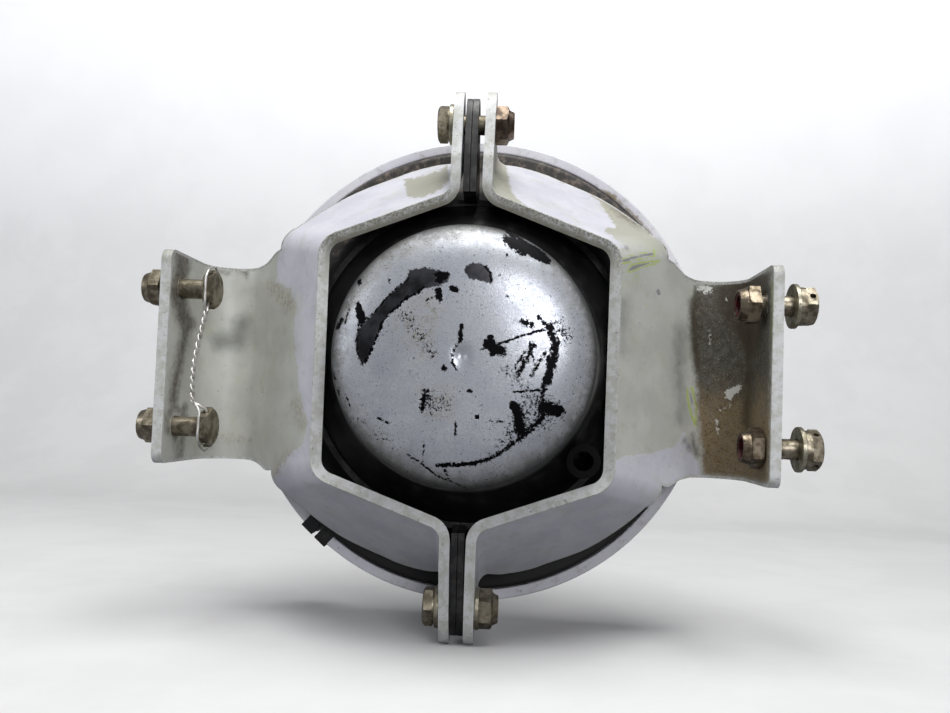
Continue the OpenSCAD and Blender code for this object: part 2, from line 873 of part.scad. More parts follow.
module rim_gasket() {
    y0 = flange_y + shell_t;
    color([0.07, 0.07, 0.07])
        spin_y([[gasket_r, y0], [rim_r - shell_t - 0.1, y0],
                [rim_r - shell_t - 0.1, rim_y + 2], [lamp_r + 0.1, rim_y + 2],
                [lamp_r + 0.1, seat_y], [gasket_r, seat_y]]);
}

// Paraboloid: r^2 = bowl * (y - bowl_y)
bowl_y = 3.2;
bowl_r1 = lamp_r - 3.4;
bowl = bowl_r1 * bowl_r1 / (seat_y - 0.4 - bowl_y);
seat_gap = 0.05;
pin_x = 11;
function bowl_at(r, t) = bowl_y + t + r * r / bowl;
bowl_out = [for (i = [0:20]) let (r = bowl_r1 * i / 20) [r, bowl_at(r, 0)]];
bowl_in = [for (i = [20:-1:0])
    let (r = (bowl_r1 - glass_t * 0.9) * i / 20) [r, bowl_at(r, glass_t * 1.05)]];

module lamp_reflector() {
    color([0.78, 0.80, 0.82])
        difference() {
            union() {
                spin_y(concat(bowl_out, [[bowl_r1 + 0.4, seat_y + seat_gap],
                                         [lamp_r, seat_y + seat_gap],
                                         [lamp_r, lens_y],
                                         [bowl_r1 - glass_t * 0.9, lens_y]],
                              bowl_in));
                for (s = [-1, 1])
                    translate([pin_x * s, -2.6, 0])
                        rotate([-90, 0, 0])
                            cylinder(h = bowl_y + glass_t + 2.6, r = 6.2, $fn = 48);
            }
            for (s = [-1, 1])
                translate([pin_x * s, -8, 0])
                    rotate([-90, 0, 0])
                        cylinder(h = 30, r = 4.2, $fn = 48);
        }
}

lens_edge_r = lamp_r - 5.5;
lens_sphere = (lens_edge_r * lens_edge_r + lens_bulge * lens_bulge) / (2 * lens_bulge);
function lens_at(r, t) =
    front_y + lens_bulge - lens_sphere - t
    + sqrt(lens_sphere * lens_sphere - r * r);
lens_out = [for (i = [0:16]) let (r = lens_edge_r * i / 16) [r, lens_at(r, 0)]];
lens_in = [for (i = [16:-1:0])
    let (r = (lens_edge_r - 1) * i / 16) [r, lens_at(r, glass_t)]];

module lamp_lens() {
    color([0.86, 0.90, 0.92])
        spin_y(concat(lens_out, [[lamp_r, front_y], [lamp_r, lens_y],
                                 [lens_edge_r - 1, lens_y]], lens_in));
}

filament_y = bowl_y + bowl / 4;

module filament() {
    color([0.45, 0.45, 0.47])
        translate([0, filament_y, 0])
            bar(-4.6, 4.6, 0.9);
}

module filament_supports() {
    color([0.70, 0.70, 0.72])
        for (s = [-1, 1])
            difference() {
                union() {
                    translate([pin_x * s, -1, 0])
                        rotate([-90, 0, 0])
                            cylinder(h = 9, r = 1, $fn = 24);
                    translate([pin_x * s, 7.6, 0])
                        rotate([-90, 0, 0])
                            rotate([0, -s * atan(5 / (filament_y - 7.6)), 0])
                                cylinder(h = filament_y - 6, r = 0.9, $fn = 24);
                }
                translate([-6, filament_y, 0])
                    bar(0, 12, 0.9);
            }
}

module contact_ferrules() {
    color([0.62, 0.60, 0.55])
        for (s = [-1, 1])
            translate([pin_x * s, -4.4, 0])
                rotate([-90, 0, 0])
                    difference() {
                        cylinder(h = 10.2, r = 4.2, $fn = 48);
                        translate([0, 0, 3.4])
                            cylinder(h = 20, r = 1, $fn = 24);
                        translate([0, 0, -1])
                            cylinder(h = 3.6, r = 1.55, $fn = 24);
                    }
}

module lamp_terminals() {
    color([0.70, 0.62, 0.38])
        for (s = [-1, 1])
            translate([pin_x * s, 0, 0])
                difference() {
                    union() {
                        translate([-4, -5.4, -4])
                            cube([8, 1, 8]);
                        translate([-4, -12.4, 3])
                            cube([8, 7.2, 1]);
                    }
                    translate([0, -10, 0])
                        rotate([-90, 0, 0])
                            cylinder(h = 20, r = 1.6, $fn = 24);
                }
}

module terminal_screws() {
    color([0.66, 0.60, 0.42])
        for (s = [-1, 1])
            translate([pin_x * s, -7.4, 0])
                rotate([-90, 0, 0])
                    difference() {
                        union() {
                            cylinder(h = 2, r = 2.8, $fn = 32);
                            translate([0, 0, 1])
                                cylinder(h = 4, r = 1.5, $fn = 24);
                        }
                        translate([-4, -0.4, -1])
                            cube([8, 0.8, 1.8]);
                    }
}

bracket_left();
bracket_right();
clamp_band_left();
clamp_band_right();
housing_shell();
cable_grommet();
upper_clamp_bolt();
upper_clamp_washer();
upper_clamp_nut();
lower_clamp_bolt();
lower_clamp_washers();
lower_clamp_nut();
left_mount_bolts();
left_mount_nuts();
safety_wire();
right_upper_bolt();
right_upper_washer();
right_upper_nut();
right_upper_insert();
right_lower_bolt();
right_lower_washer();
right_lower_nut();
right_lower_insert();
retaining_ring();
ring_lug_left();
ring_lug_right();
ring_tension_screw();
ring_tension_nut();
rim_gasket();
lamp_reflector();
lamp_lens();
filament();
filament_supports();
contact_ferrules();
lamp_terminals();
terminal_screws();
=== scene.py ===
import json
import math

import bmesh
import bpy
import numpy as np
from mathutils import Matrix, Vector, kdtree


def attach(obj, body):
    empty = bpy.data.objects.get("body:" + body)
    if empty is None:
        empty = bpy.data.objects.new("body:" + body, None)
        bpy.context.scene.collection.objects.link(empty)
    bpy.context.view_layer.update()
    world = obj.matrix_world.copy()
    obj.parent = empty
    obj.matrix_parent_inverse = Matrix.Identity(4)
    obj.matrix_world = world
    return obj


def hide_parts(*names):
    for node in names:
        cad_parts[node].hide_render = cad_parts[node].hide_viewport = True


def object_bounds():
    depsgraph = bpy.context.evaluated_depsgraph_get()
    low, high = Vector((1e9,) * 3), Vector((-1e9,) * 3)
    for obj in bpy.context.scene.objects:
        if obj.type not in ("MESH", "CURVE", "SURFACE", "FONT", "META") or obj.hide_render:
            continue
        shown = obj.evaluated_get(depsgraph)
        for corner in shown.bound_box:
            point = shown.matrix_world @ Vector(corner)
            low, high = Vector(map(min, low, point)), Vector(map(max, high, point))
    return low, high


MM = 0.001
# Points nearer to each other than this are one
MERGE = 0.002
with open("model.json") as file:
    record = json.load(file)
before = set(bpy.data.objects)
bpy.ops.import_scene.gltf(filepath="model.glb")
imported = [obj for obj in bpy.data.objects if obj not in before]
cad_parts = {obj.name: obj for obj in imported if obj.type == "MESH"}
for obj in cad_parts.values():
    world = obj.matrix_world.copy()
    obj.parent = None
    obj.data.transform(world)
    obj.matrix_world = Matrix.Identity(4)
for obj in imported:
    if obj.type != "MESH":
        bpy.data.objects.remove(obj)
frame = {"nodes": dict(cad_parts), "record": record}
cad_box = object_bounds()
NODES = frame["nodes"]
BODY_OF = {node: body for body, members in frame["record"]["behaviour"]["bodies"].items()
           for node in members}
SLOT_OF = {part["node"]: part["material_slot"] for part in frame["record"]["subparts"]}

# Sheet-metal sizes, the same as the part's
PLATE_T = 3.2
EAR_GAP = 5.2
COLLAR_HALF_W = 44
COLLAR_CORNER_Z = 35.5
FLANGE_FACE_X = 92.5
SADDLE_HALF_Z = 33.8
SADDLE_DROP = 1.2
BOLT_SPACING = 44.4
EAR_BOLT_Z = 78.4
EAR_BOLT_Y = 6.5
HOLE_R = 3.325
LEFT_LEAN = math.radians(0.67)
RIGHT_LEAN = math.radians(0.3)
LEFT_SHIFT = 1.0
RIGHT_SHIFT = 0.2
EDGE_Y = -3.5
SLOPE = math.radians(20.5)
TURN = math.radians(90) - SLOPE
RISE = 0.665
BEND_R = 7.9
EAR_BEND_R = 4.5
SADDLE_R = 10
WALL_X = COLLAR_HALF_W + PLATE_T
CORNER_Z = COLLAR_CORNER_Z + PLATE_T * (1 / math.cos(SLOPE) - math.tan(SLOPE))
EAR_X = EAR_GAP / 2 + PLATE_T
BEND_K = math.tan(TURN / 2)
EAR_ROOT_Z = CORNER_Z + (WALL_X - EAR_X) * math.tan(SLOPE) + EAR_BEND_R * BEND_K
SIDE_Z = CORNER_Z - BEND_R * BEND_K
CORNER_RISE = RISE - math.tan(SLOPE)
SADDLE_X = FLANGE_FACE_X - SADDLE_R
SADDLE_Y = SADDLE_X - WALL_X + EDGE_Y - SADDLE_R * math.sqrt(2)
WALL_END = SADDLE_X - SADDLE_R / math.sqrt(2) - WALL_X
FLANGE_Y0 = EDGE_Y - 6
FLANGE_CORNER_R = 3.5
EAR_DEPTH = 28
CORNER_REACH = 17.5

# Housing and ring
DOME_R = 39.4
DOME_DEPTH = 9.2
SHOULDER_Y = EDGE_Y - 14.8
SKIRT_R = 52
SHELL_T = 1.6
RIM_R = 78
RIM_Y = 39.5
FLANGE_Y = 33.3
HOUSING_STEPS = 340
# Stands for the axis: the points at this radius merge into one
POLE_R = MERGE / 2
RING_R = 82.5
RING_T = 1.5
RING_Y0 = 36.5
FRONT_Y = 47
LIP_R = RIM_R + 0.8
FRONT_LIP_R = 70.5
RING_STEPS = 300
SPLIT_MID = math.radians(228.5)
SPLIT_HALF = RING_R * math.sin(math.radians(4))
BOSS_ANGLE = math.radians(-39)
BOSS_R = 47.9
GROMMET_HOLE_R = 4.62
GROMMET_HOLE_DEPTH = 40

# Camera: place in metres, and the three directions of its frame
EYE = Vector((0.01789476, -0.26833397, -0.01751295))
RIGHT = Vector((0.9976987, 0.05472284, 0.04003403))
AHEAD = Vector((-0.0574238, 0.99590991, 0.06975647))
UP = Vector((-0.03605302, -0.07189485, 0.99676041))
IMAGE_W = 950
IMAGE_H = 713
FOCAL_PX = 850


def add_camera():
    """The camera, matched to the photograph."""
    data = bpy.data.cameras.new("camera")
    data.sensor_width = 36
    data.lens = 36 * FOCAL_PX / IMAGE_W
    data.clip_start = 0.01
    camera = bpy.data.objects.new("camera", data)
    turn = Matrix((RIGHT, UP, -AHEAD)).transposed().to_4x4()
    turn.translation = EYE
    camera.matrix_world = turn
    bpy.context.scene.collection.objects.link(camera)
    bpy.context.scene.camera = camera


# Shading tools
def linear(code, alpha=1.0):
    """An sRGB hex colour as the linear values that a socket takes."""
    parts = [int(code[i:i + 2], 16) / 255 for i in (1, 3, 5)]
    return [c / 12.92 if c <= 0.04045 else ((c + 0.055) / 1.055) ** 2.4
            for c in parts] + [alpha]


def add(tree, kind, sources=None, out=0, **settings):
    """Adds a node, sets its properties, fills its inputs with numbers or with the
    outputs of other nodes, and returns one of its own outputs, if it has any."""
    node = tree.nodes.new(kind)
    for name, value in settings.items():
        setattr(node, name, value)
    for name, value in (sources or {}).items():
        if isinstance(value, bpy.types.NodeSocket):
            tree.links.new(value, node.inputs[name])
        else:
            node.inputs[name].default_value = value
    return node.outputs[out] if node.outputs else None


def blank(name):
    """A new material without nodes, and its tree."""
    material = bpy.data.materials.new(name)
    material.use_nodes = True
    material.node_tree.nodes.clear()
    return material, material.node_tree


def patches(tree, size, low, high, detail=4.0, rough=0.6, stretch=(1, 1, 1), shift=(0, 0, 0)):
    """Cloudy patches of about size mm: 0 below low, 1 above high."""
    where = add(tree, "ShaderNodeTexCoord", out="Object")
    where = add(tree, "ShaderNodeMapping",
                {"Vector": where, "Scale": stretch, "Location": shift})
    cloud = add(tree, "ShaderNodeTexNoise", {"Vector": where, "Scale": 1 / (size * MM),
                                             "Detail": detail, "Roughness": rough})
    return add(tree, "ShaderNodeMapRange", {"Value": cloud, "From Min": low, "From Max": high},
               interpolation_type="SMOOTHSTEP")


def inside(tree, attribute, feather, ragged, grain):
    """1 within the marks of an attribute that holds the distance in mm to their
    edge; the edge is torn by ragged mm in pieces of about grain mm."""
    edge = add(tree, "ShaderNodeAttribute", out="Fac", attribute_name=attribute)
    torn = patches(tree, grain, 0.2, 0.8, 6.0, 0.7)
    torn = add(tree, "ShaderNodeMath", {0: torn, 1: 2 * ragged, 2: -ragged},
               operation="MULTIPLY_ADD")
    edge = add(tree, "ShaderNodeMath", {0: edge, 1: torn}, operation="ADD")
    return add(tree, "ShaderNodeMapRange",
               {"Value": edge, "From Min": feather, "From Max": -feather},
               interpolation_type="SMOOTHSTEP")


def scattered(tree, attribute, reach, size, thin=0.0):
    """Marks that break up into specks of about size mm: dense in the middle, less
    so by thin, and gone reach mm past their edge."""
    edge = add(tree, "ShaderNodeAttribute", out="Fac", attribute_name=attribute)
    dense = add(tree, "ShaderNodeMapRange", {"Value": edge, "From Min": reach,
                                             "From Max": -reach, "To Max": 1 - thin})
    cloud = patches(tree, size, 0.25, 0.75, 8.0, 0.75)
    total = add(tree, "ShaderNodeMath", {0: dense, 1: cloud}, operation="ADD")
    return add(tree, "ShaderNodeMapRange",
               {"Value": total, "From Min": 0.94, "From Max": 1.02})


def along_axis(tree, axis, start, end, blur=0.0, size=6.0):
    """0 at start and 1 at end, in mm along one axis of the object; both are set
    back by up to blur mm, in clouds of about size mm."""
    where = add(tree, "ShaderNodeTexCoord", out="Object")
    value = add(tree, "ShaderNodeSeparateXYZ", {0: where}, axis)
    if blur:
        cloud = patches(tree, size, 0.2, 0.8)
        value = add(tree, "ShaderNodeMath", {0: cloud, 1: blur * MM, 2: value},
                    operation="MULTIPLY_ADD")
    return add(tree, "ShaderNodeMapRange",
               {"Value": value, "From Min": start * MM, "From Max": end * MM},
               interpolation_type="SMOOTHSTEP")


def faces_along(tree, direction, low, high):
    """1 where the surface's own normal points along a direction of the object."""
    normal = add(tree, "ShaderNodeTexCoord", out="Normal")
    dot = add(tree, "ShaderNodeVectorMath", {0: normal, 1: direction}, "Value",
              operation="DOT_PRODUCT")
    return add(tree, "ShaderNodeMapRange", {"Value": dot, "From Min": low, "From Max": high},
               interpolation_type="SMOOTHSTEP")


def joined(tree, masks, operation):
    """Some masks or strengths taken into one, from the first to the last."""
    result = masks[0]
    for other in masks[1:]:
        result = add(tree, "ShaderNodeMath", {0: result, 1: other}, operation=operation)
    return result


def both(tree, *masks):
    """The product of some masks or strengths."""
    return joined(tree, masks, "MULTIPLY")


def either(tree, *masks):
    """The largest of some masks."""
    return joined(tree, masks, "MAXIMUM")


def coat(colour, rough, metal=0.0):
    """A plain coat: its colour, roughness and share of bare metal."""
    return {"colour": linear(colour), "rough": rough, "metal": metal}


def laid(tree, under, over, mask):
    """One coat over another, where the mask is 1."""
    result = {}
    for part in under:
        if under[part] == over[part]:
            result[part] = under[part]
            continue
        kind, first, out = ("RGBA", 6, 2) if part == "colour" else ("FLOAT", 2, 0)
        result[part] = add(tree, "ShaderNodeMix",
                           {0: mask, first: under[part], first + 1: over[part]},
                           out, data_type=kind)
    return result


def spread(tree, top, colour, rough, *masks, metal=0.0):
    """One more plain coat over the others, where all of the masks are 1."""
    return laid(tree, top, coat(colour, rough, metal), both(tree, *masks))


def finish(tree, top, relief=None, depth=0.05, **more):
    """Ends a material: the shader, its relief of depth mm, and the output."""
    sources = {"Base Color": top["colour"], "Roughness": top["rough"],
               "Metallic": top["metal"], **more}
    if relief is not None:
        sources["Normal"] = add(tree, "ShaderNodeBump",
                                {"Height": relief, "Distance": depth * MM,
                                 "Strength": 1.0})
    shader = add(tree, "ShaderNodeBsdfPrincipled", sources)
    add(tree, "ShaderNodeOutputMaterial", {0: shader})


def mottled(name, first, second, cloud, grain, depth, **more):
    """A whole finish: one coat with cloudy patches of a second, and a fine relief."""
    material, tree = blank(name)
    top = laid(tree, first, second, patches(tree, *cloud))
    finish(tree, top, patches(tree, *grain), depth, **more)
    return material


# Finishes
def bracket_paint():
    """Satin enamel on formed sheet: a lavender coat sprayed over an older
    greenish grey one, both soiled, and rubbed thin along the cut edge."""
    material, tree = blank("satin_enamel_on_sheet")
    fine = patches(tree, 0.55, 0.35, 0.65, 2.0)
    cloud = patches(tree, 14, 0.35, 0.65)
    old = laid(tree, coat("#bcbdb5", 0.42), coat("#c9cac2", 0.38), cloud)
    old = spread(tree, old, "#a5a497", 0.5, along_axis(tree, 2, 37, 44), 0.85)
    new = laid(tree, coat("#c9c9d2", 0.36), coat("#d6d6dd", 0.32), cloud)
    lavender = inside(tree, "lavender", 0.3, 0.8, 3.2)
    top = laid(tree, old, new, lavender)
    top = spread(tree, top, "#a3a296", 0.5, inside(tree, "olive", 0.2, 0.9, 2.0))
    green = patches(tree, 9, 0.5, 0.75, 3.0, shift=(0, 0, 0.3))
    top = spread(tree, top, "#b5bb9c", 0.42, green, 0.3)
    top = spread(tree, top, "#8f8c80", 0.6, patches(tree, 4, 0.52, 0.85, 6.0), 0.28)
    specks = patches(tree, 1.1, 0.68, 0.72, 3.0, shift=(0.02, 0.01, 0))
    top = spread(tree, top, "#7a7465", 0.6, specks, 0.5)
    # dark smudges; on the right wall, a band of painted shade along its bend into the saddle
    top = spread(tree, top, "#6d6e6b", 0.55, inside(tree, "smudge_and_shade", 3.4, 1.2, 6), 0.7)
    top = spread(tree, top, "#b3c84f", 0.5, inside(tree, "primer", 0.15, 0.12, 1.2), 0.8)
    top = spread(tree, top, "#8f8e90", 0.4, inside(tree, "scrape", 0.12, 0.14, 1.0), 0.9)
    # soil: darker towards the top, rust and sand below, fading at its edge
    low = along_axis(tree, 2, 6, -12, 9, 7)
    brown = laid(tree, coat("#3d372c", 0.72), coat("#7d6845", 0.8), low)
    brown = spread(tree, brown, "#a08f6e", 0.75, patches(tree, 0.5, 0.56, 0.64, 6.0, 0.75))
    brown = spread(tree, brown, "#1d1913", 0.7,
                   patches(tree, 0.7, 0.55, 0.61, 6.0, 0.75, shift=(0.1, 0, 0)))
    thick = add(tree, "ShaderNodeMapRange",
                {"Value": patches(tree, 2.2, 0.25, 0.7, 8.0, 0.75), "To Min": 0.82,
                 "To Max": 0.98})
    top = laid(tree, top, brown, both(tree, inside(tree, "soil", 1.5, 1.0, 2.2), thick))
    top = spread(tree, top, "#8a7a62", 0.6, inside(tree, "stain", 2.0, 1.6, 3.0),
                 patches(tree, 1.4, 0.3, 0.75, 6.0), 0.75)
    filmy = add(tree, "ShaderNodeMapRange",
                {"Value": patches(tree, 2.2, 0.25, 0.7, 7.0, 0.7), "To Min": 0.6,
                 "To Max": 0.97})
    # grime, and next to the right bracket's upper nut a painted shadow of that nut
    top = spread(tree, top, "#443b2c", 0.5, inside(tree, "grime_and_shadow", 1.5, 0.8, 2.6), filmy)
    top = spread(tree, top, "#d8d8d0", 0.5, inside(tree, "pale", 0.15, 0.9, 0.9))
    # painted shade: near black on the downward faces in the throat between the ears
    top = spread(tree, top, "#191714", 0.65, along_axis(tree, 0, 19, 13),
                 along_axis(tree, 0, -21, -15), along_axis(tree, 2, 36, 42),
                 faces_along(tree, (0, 0, -1), -0.05, 0.25), 0.94)
    # the cut edge: the same paint, rubbed thin and dirty, and darker on the upper rims, which is
    # partly painted shade
    edge = inside(tree, "rim", 0.22, 0.12, 1.2)
    thin = laid(tree, coat("#d3d4d3", 0.4), coat("#bfc0b8", 0.42),
                patches(tree, 3.0, 0.4, 0.62, 5.0))
    thin = spread(tree, thin, "#4f4c42", 0.55, patches(tree, 0.9, 0.6, 0.68, 6.0, 0.7), 0.7)
    top = laid(tree, top, thin, edge)
    # olive grime on the rims, laid only on the upper panels so that their rims are darker than
    # the lower ones: real grime, and partly painted shade
    rim_grime_and_shade = either(tree, inside(tree, "rim_back", 0.8, 0.7, 1.4),
                   patches(tree, 0.7, 0.36, 0.62, 6.0, 0.7))
    top = spread(tree, top, "#66634f", 0.5, edge, along_axis(tree, 2, 20, 38),
                 along_axis(tree, 2, 60, 50), rim_grime_and_shade, 0.78)
    top = spread(tree, top, "#8a887c", 0.5, inside(tree, "rim_near", 0.5, 0.6, 1.2),
                 patches(tree, 1.1, 0.62, 0.66, 5.0, shift=(0, 0.05, 0)), 0.7)
    relief = add(tree, "ShaderNodeMath", {0: both(tree, fine, 0.25), 1: lavender},
                 operation="ADD")
    finish(tree, top, relief, 0.035)
    return material


def housing_paint():
    """Aluminium paint brushed over black on spun metal: pale, faintly metallic,
    and rubbed through to the black wherever it was knocked."""
    material, tree = blank("aluminium_paint_over_black")
    cloud = patches(tree, 11, 0.36, 0.64, 5.0)
    fine = patches(tree, 0.5, 0.38, 0.62, 3.0)
    top = laid(tree, coat("#c0c4cb", 0.27, 0.5), coat("#d3d6da", 0.22, 0.5), cloud)
    top = spread(tree, top, "#a4a9b4", 0.34, fine, 0.45, metal=0.5)
    mottle = patches(tree, 3.5, 0.45, 0.7, 8.0, 0.7, shift=(0.4, 0, 0))
    top = spread(tree, top, "#9fa3ab", 0.4, mottle, 0.5, metal=0.3)
    top = spread(tree, top, "#938e84", 0.45, inside(tree, "tan", 3.0, 1.6, 4),
                 patches(tree, 2.0, 0.36, 0.66, 7.0, 0.7), 0.75, metal=0.2)
    # a ring of dirt where the dome turns into the skirt; then painted shade: the outer part of
    # the dome darker towards the bottom, and its outermost edge near black all round
    top = spread(tree, top, "#6f6d66", 0.6, along_axis(tree, 1, -24.8, -20.5, 1.8, 5),
                 patches(tree, 2.4, 0.2, 0.6, 7.0, 0.7), 0.75)
    top = spread(tree, top, "#3c3c37", 0.6, along_axis(tree, 2, -6, -34, 6, 9),
                 along_axis(tree, 1, -26.6, -20.0), 0.8)
    top = spread(tree, top, "#262624", 0.6, along_axis(tree, 1, -22.8, -19.4, 0.8, 5), 0.9)
    black = coat("#131315", 0.45, 1.0)
    pepper = both(tree, patches(tree, 0.55, 0.63, 0.67, 3.0),
                  patches(tree, 8, 0.28, 0.5, 3.0, shift=(0.3, 0, 0)), 0.9)
    top = laid(tree, top, black, pepper)
    # the knocks: grey in the crescent, black where more of the paint is gone
    grey = laid(tree, coat("#29292c", 0.42, 1.0), coat("#48484c", 0.4, 0.9),
                patches(tree, 6, 0.35, 0.65, 7.0))
    torn = either(tree, inside(tree, "crescent", 0.1, 0.45, 1.0),
                  scattered(tree, "crescent", 0.9, 0.8, 0.1))
    top = laid(tree, top, grey, torn)
    gone = either(tree, scattered(tree, "speckled", 2.2, 0.8, 0.6),
                  scattered(tree, "rubbed", 1.0, 1.0), inside(tree, "knocked", 0.07, 0.55, 0.9))
    top = laid(tree, top, black, gone)
    # the shoulder, the dark skirt and its flare, near black deeper in as painted shade, and the
    # flange in front: dirty brown above, near black towards the bottom as painted shade
    worn = laid(tree, coat("#3a3a39", 0.4, 0.3), coat("#2b2a26", 0.55),
                patches(tree, 5, 0.44, 0.7, 7.0, 0.7))
    top = laid(tree, top, worn, along_axis(tree, 1, -18.6, -17.0))
    skirt = laid(tree, coat("#1d1d1e", 0.36, 0.6), coat("#1b1a17", 0.55),
                 patches(tree, 5, 0.48, 0.74, 5.0))
    top = laid(tree, top, skirt, along_axis(tree, 1, -14.5, -8.0, 3, 5))
    # painted shade: near black and matt deeper inside the bracket
    top = spread(tree, top, "#0f0e0d", 0.85, along_axis(tree, 1, 4, 12))
    # the flange: brown dirt above, near black towards the bottom as painted shade
    flange_dirt_and_shade = laid(tree, coat("#2b2824", 0.55), coat("#71655a", 0.6),
                    patches(tree, 3.0, 0.46, 0.66, 8.0, 0.7))
    flange_dirt_and_shade = laid(tree, coat("#131312", 0.6), flange_dirt_and_shade, along_axis(tree, 2, 5, 30, 8, 10))
    top = laid(tree, top, flange_dirt_and_shade, along_axis(tree, 1, 27.5, 31, 1.5, 4))
    relief = add(tree, "ShaderNodeMath", {0: gone, 1: both(tree, fine, -0.12)},
                 operation="SUBTRACT")
    finish(tree, top, both(tree, relief, -1.0), 0.05)
    return material


def ring_paint():
    """Satin white enamel on a rolled steel ring, spotted with dirt, and worn brown
    along its hooked rear edge."""
    material, tree = blank("satin_white_enamel")
    cloud = patches(tree, 20, 0.4, 0.62)
    top = laid(tree, coat("#d9d8df", 0.34), coat("#e2e1e6", 0.3), cloud)
    top = spread(tree, top, "#8b887c", 0.6, patches(tree, 4, 0.5, 0.74, 6.0, 0.7), 0.5)
    top = spread(tree, top, "#8d8068", 0.5, inside(tree, "worn", 0.4, 0.5, 2.4),
                 patches(tree, 1.6, 0.15, 0.4, 5.0))
    top = spread(tree, top, "#4d4a44", 0.5, patches(tree, 1.0, 0.7, 0.73, 3.0))
    finish(tree, top, patches(tree, 0.6, 0.35, 0.65, 2.0), 0.008)
    return material


def plated(name, light, dark, soil, shine=0.34):
    """Cadmium plate on steel, dulled to a brownish yellow: smooth and metallic,
    with fine turning marks and spots of dried dirt."""
    material, tree = blank(name)
    cloud = patches(tree, 3.2, 0.38, 0.62, 5.0)
    top = laid(tree, coat(dark, shine + 0.14, 0.9), coat(light, shine, 0.9), cloud)
    spots = patches(tree, 1.5, 0.56, 0.7, 6.0, 0.7)
    top = spread(tree, top, soil, 0.62, spots, 0.7, metal=0.25)
    finish(tree, top, patches(tree, 0.45, 0.3, 0.7, 2.0, stretch=(6, 1, 1)), 0.006)
    return material


def dark_steel():
    """Blued steel strip with dried oil and a little rust."""
    material, tree = blank("dark_oiled_steel")
    top = laid(tree, coat("#2b2b2b", 0.42, 0.5), coat("#4a4a49", 0.36, 0.5),
               patches(tree, 5, 0.4, 0.66, 5.0))
    top = spread(tree, top, "#4a3f31", 0.7, patches(tree, 1.8, 0.6, 0.7, 5.0), 0.7)
    finish(tree, top, patches(tree, 0.7, 0.3, 0.7, 3.0), 0.015)
    return material


def black_enamel():
    """Black enamel on the clamp blocks, greyed by dust."""
    return mottled("black_enamel", coat("#0d0d0e", 0.36), coat("#2b2a28", 0.55),
                   (4, 0.5, 0.72, 5.0), (0.8, 0.3, 0.7, 3.0), 0.012)


def rubber():
    """Moulded black rubber: matt, bloomed grey in places."""
    return mottled("moulded_rubber", coat("#060606", 0.75), coat("#0f0f0e", 0.85),
                   (3, 0.45, 0.7, 4.0), (0.35, 0.3, 0.7, 2.0), 0.02,
                   **{"Specular IOR Level": 0.15})


def wire_steel():
    """Drawn stainless wire: bright, and very finely roughened by the die."""
    return mottled("drawn_stainless_wire", coat("#e6e4de", 0.34, 0.75),
                   coat("#bdbab0", 0.42, 0.75), (2.0, 0.45, 0.65, 4.0),
                   (0.2, 0.3, 0.7, 2.0), 0.004)


def dyed_fibre():
    """Red vulcanised fibre of the locking inserts: waxy, with spots of soil."""
    material, tree = blank("red_vulcanised_fibre")
    top = laid(tree, coat("#35070c", 0.5), coat("#5c0f17", 0.42),
               patches(tree, 1.4, 0.4, 0.62, 4.0))
    top = spread(tree, top, "#35100f", 0.6, patches(tree, 0.9, 0.58, 0.66, 4.0), 0.8)
    finish(tree, top, patches(tree, 0.4, 0.3, 0.7, 3.0), 0.02, **{"Subsurface Weight": 0.05})
    return material


def mirror_glass():
    """The lamp's bowl: vacuum-aluminised and bright on its front face, and dull
    grey pressed glass on its back."""
    material, tree = blank("aluminised_pressed_glass")
    front = faces_along(tree, (0, 1, 0), 0.02, 0.12)
    back = laid(tree, coat("#77797b", 0.32, 0.5), coat("#8d8f90", 0.26, 0.5),
                patches(tree, 9, 0.4, 0.62, 4.0))
    top = laid(tree, back, coat("#e6e7e8", 0.05, 1.0), front)
    finish(tree, top, patches(tree, 6, 0.3, 0.7, 2.0), 0.004)
    return material


def clear_glass():
    """Pressed borosilicate: clear, with the faint ripple of the mould."""
    return mottled("pressed_borosilicate_glass", coat("#f2f6f6", 0.02), coat("#e9efee", 0.05),
                   (12, 0.4, 0.66, 3.0), (9, 0.2, 0.8, 2.0), 0.05,
                   **{"IOR": 1.47, "Transmission Weight": 1.0})


def bare_metal(name, light, dark, shine):
    """Bare drawn or pressed metal of the lamp's inner parts: dulled in soft patches."""
    return mottled(name, coat(dark, shine + 0.15, 1.0), coat(light, shine, 1.0),
                   (2.4, 0.4, 0.62, 4.0), (0.3, 0.3, 0.7, 2.0), 0.004)


def all_finishes():
    """The finish of every material slot."""
    bracket = bracket_paint()
    return {
        "bracket_paint_left": bracket,
        "bracket_paint_right": bracket,
        "band_steel": dark_steel(),
        "housing_paint": housing_paint(),
        "black_rubber": rubber(),
        "plated_steel": plated("dull_cadmium_plate", "#a89f8c", "#6d6555", "#2c2823"),
        "plated_washer": plated("cadmium_plated_washer", "#b5b09c", "#88826f", "#4a453a"),
        "plated_nut": plated("browned_cadmium_nut", "#8d8270", "#574b3c", "#231c16", 0.3),
        "copper_nut": plated("copper_washed_nut", "#7b6c5d", "#4a3f36", "#211914"),
        "lock_wire": wire_steel(),
        "red_insert": dyed_fibre(),
        "ring_paint": ring_paint(),
        "black_steel": black_enamel(),
        "lamp_mirror": mirror_glass(),
        "lamp_glass": clear_glass(),
        "tungsten": bare_metal("tungsten_coil", "#7c7c7e", "#4d4d50", 0.4),
        "nickel_wire": bare_metal("nickel_post", "#bdb9b0", "#918c82", 0.28),
        "ferrule_steel": bare_metal("nickel_iron_ferrule", "#a8a399", "#7b766c", 0.34),
        "terminal_brass": bare_metal("tinned_brass", "#b7a36a", "#8a7748", 0.32),
    }


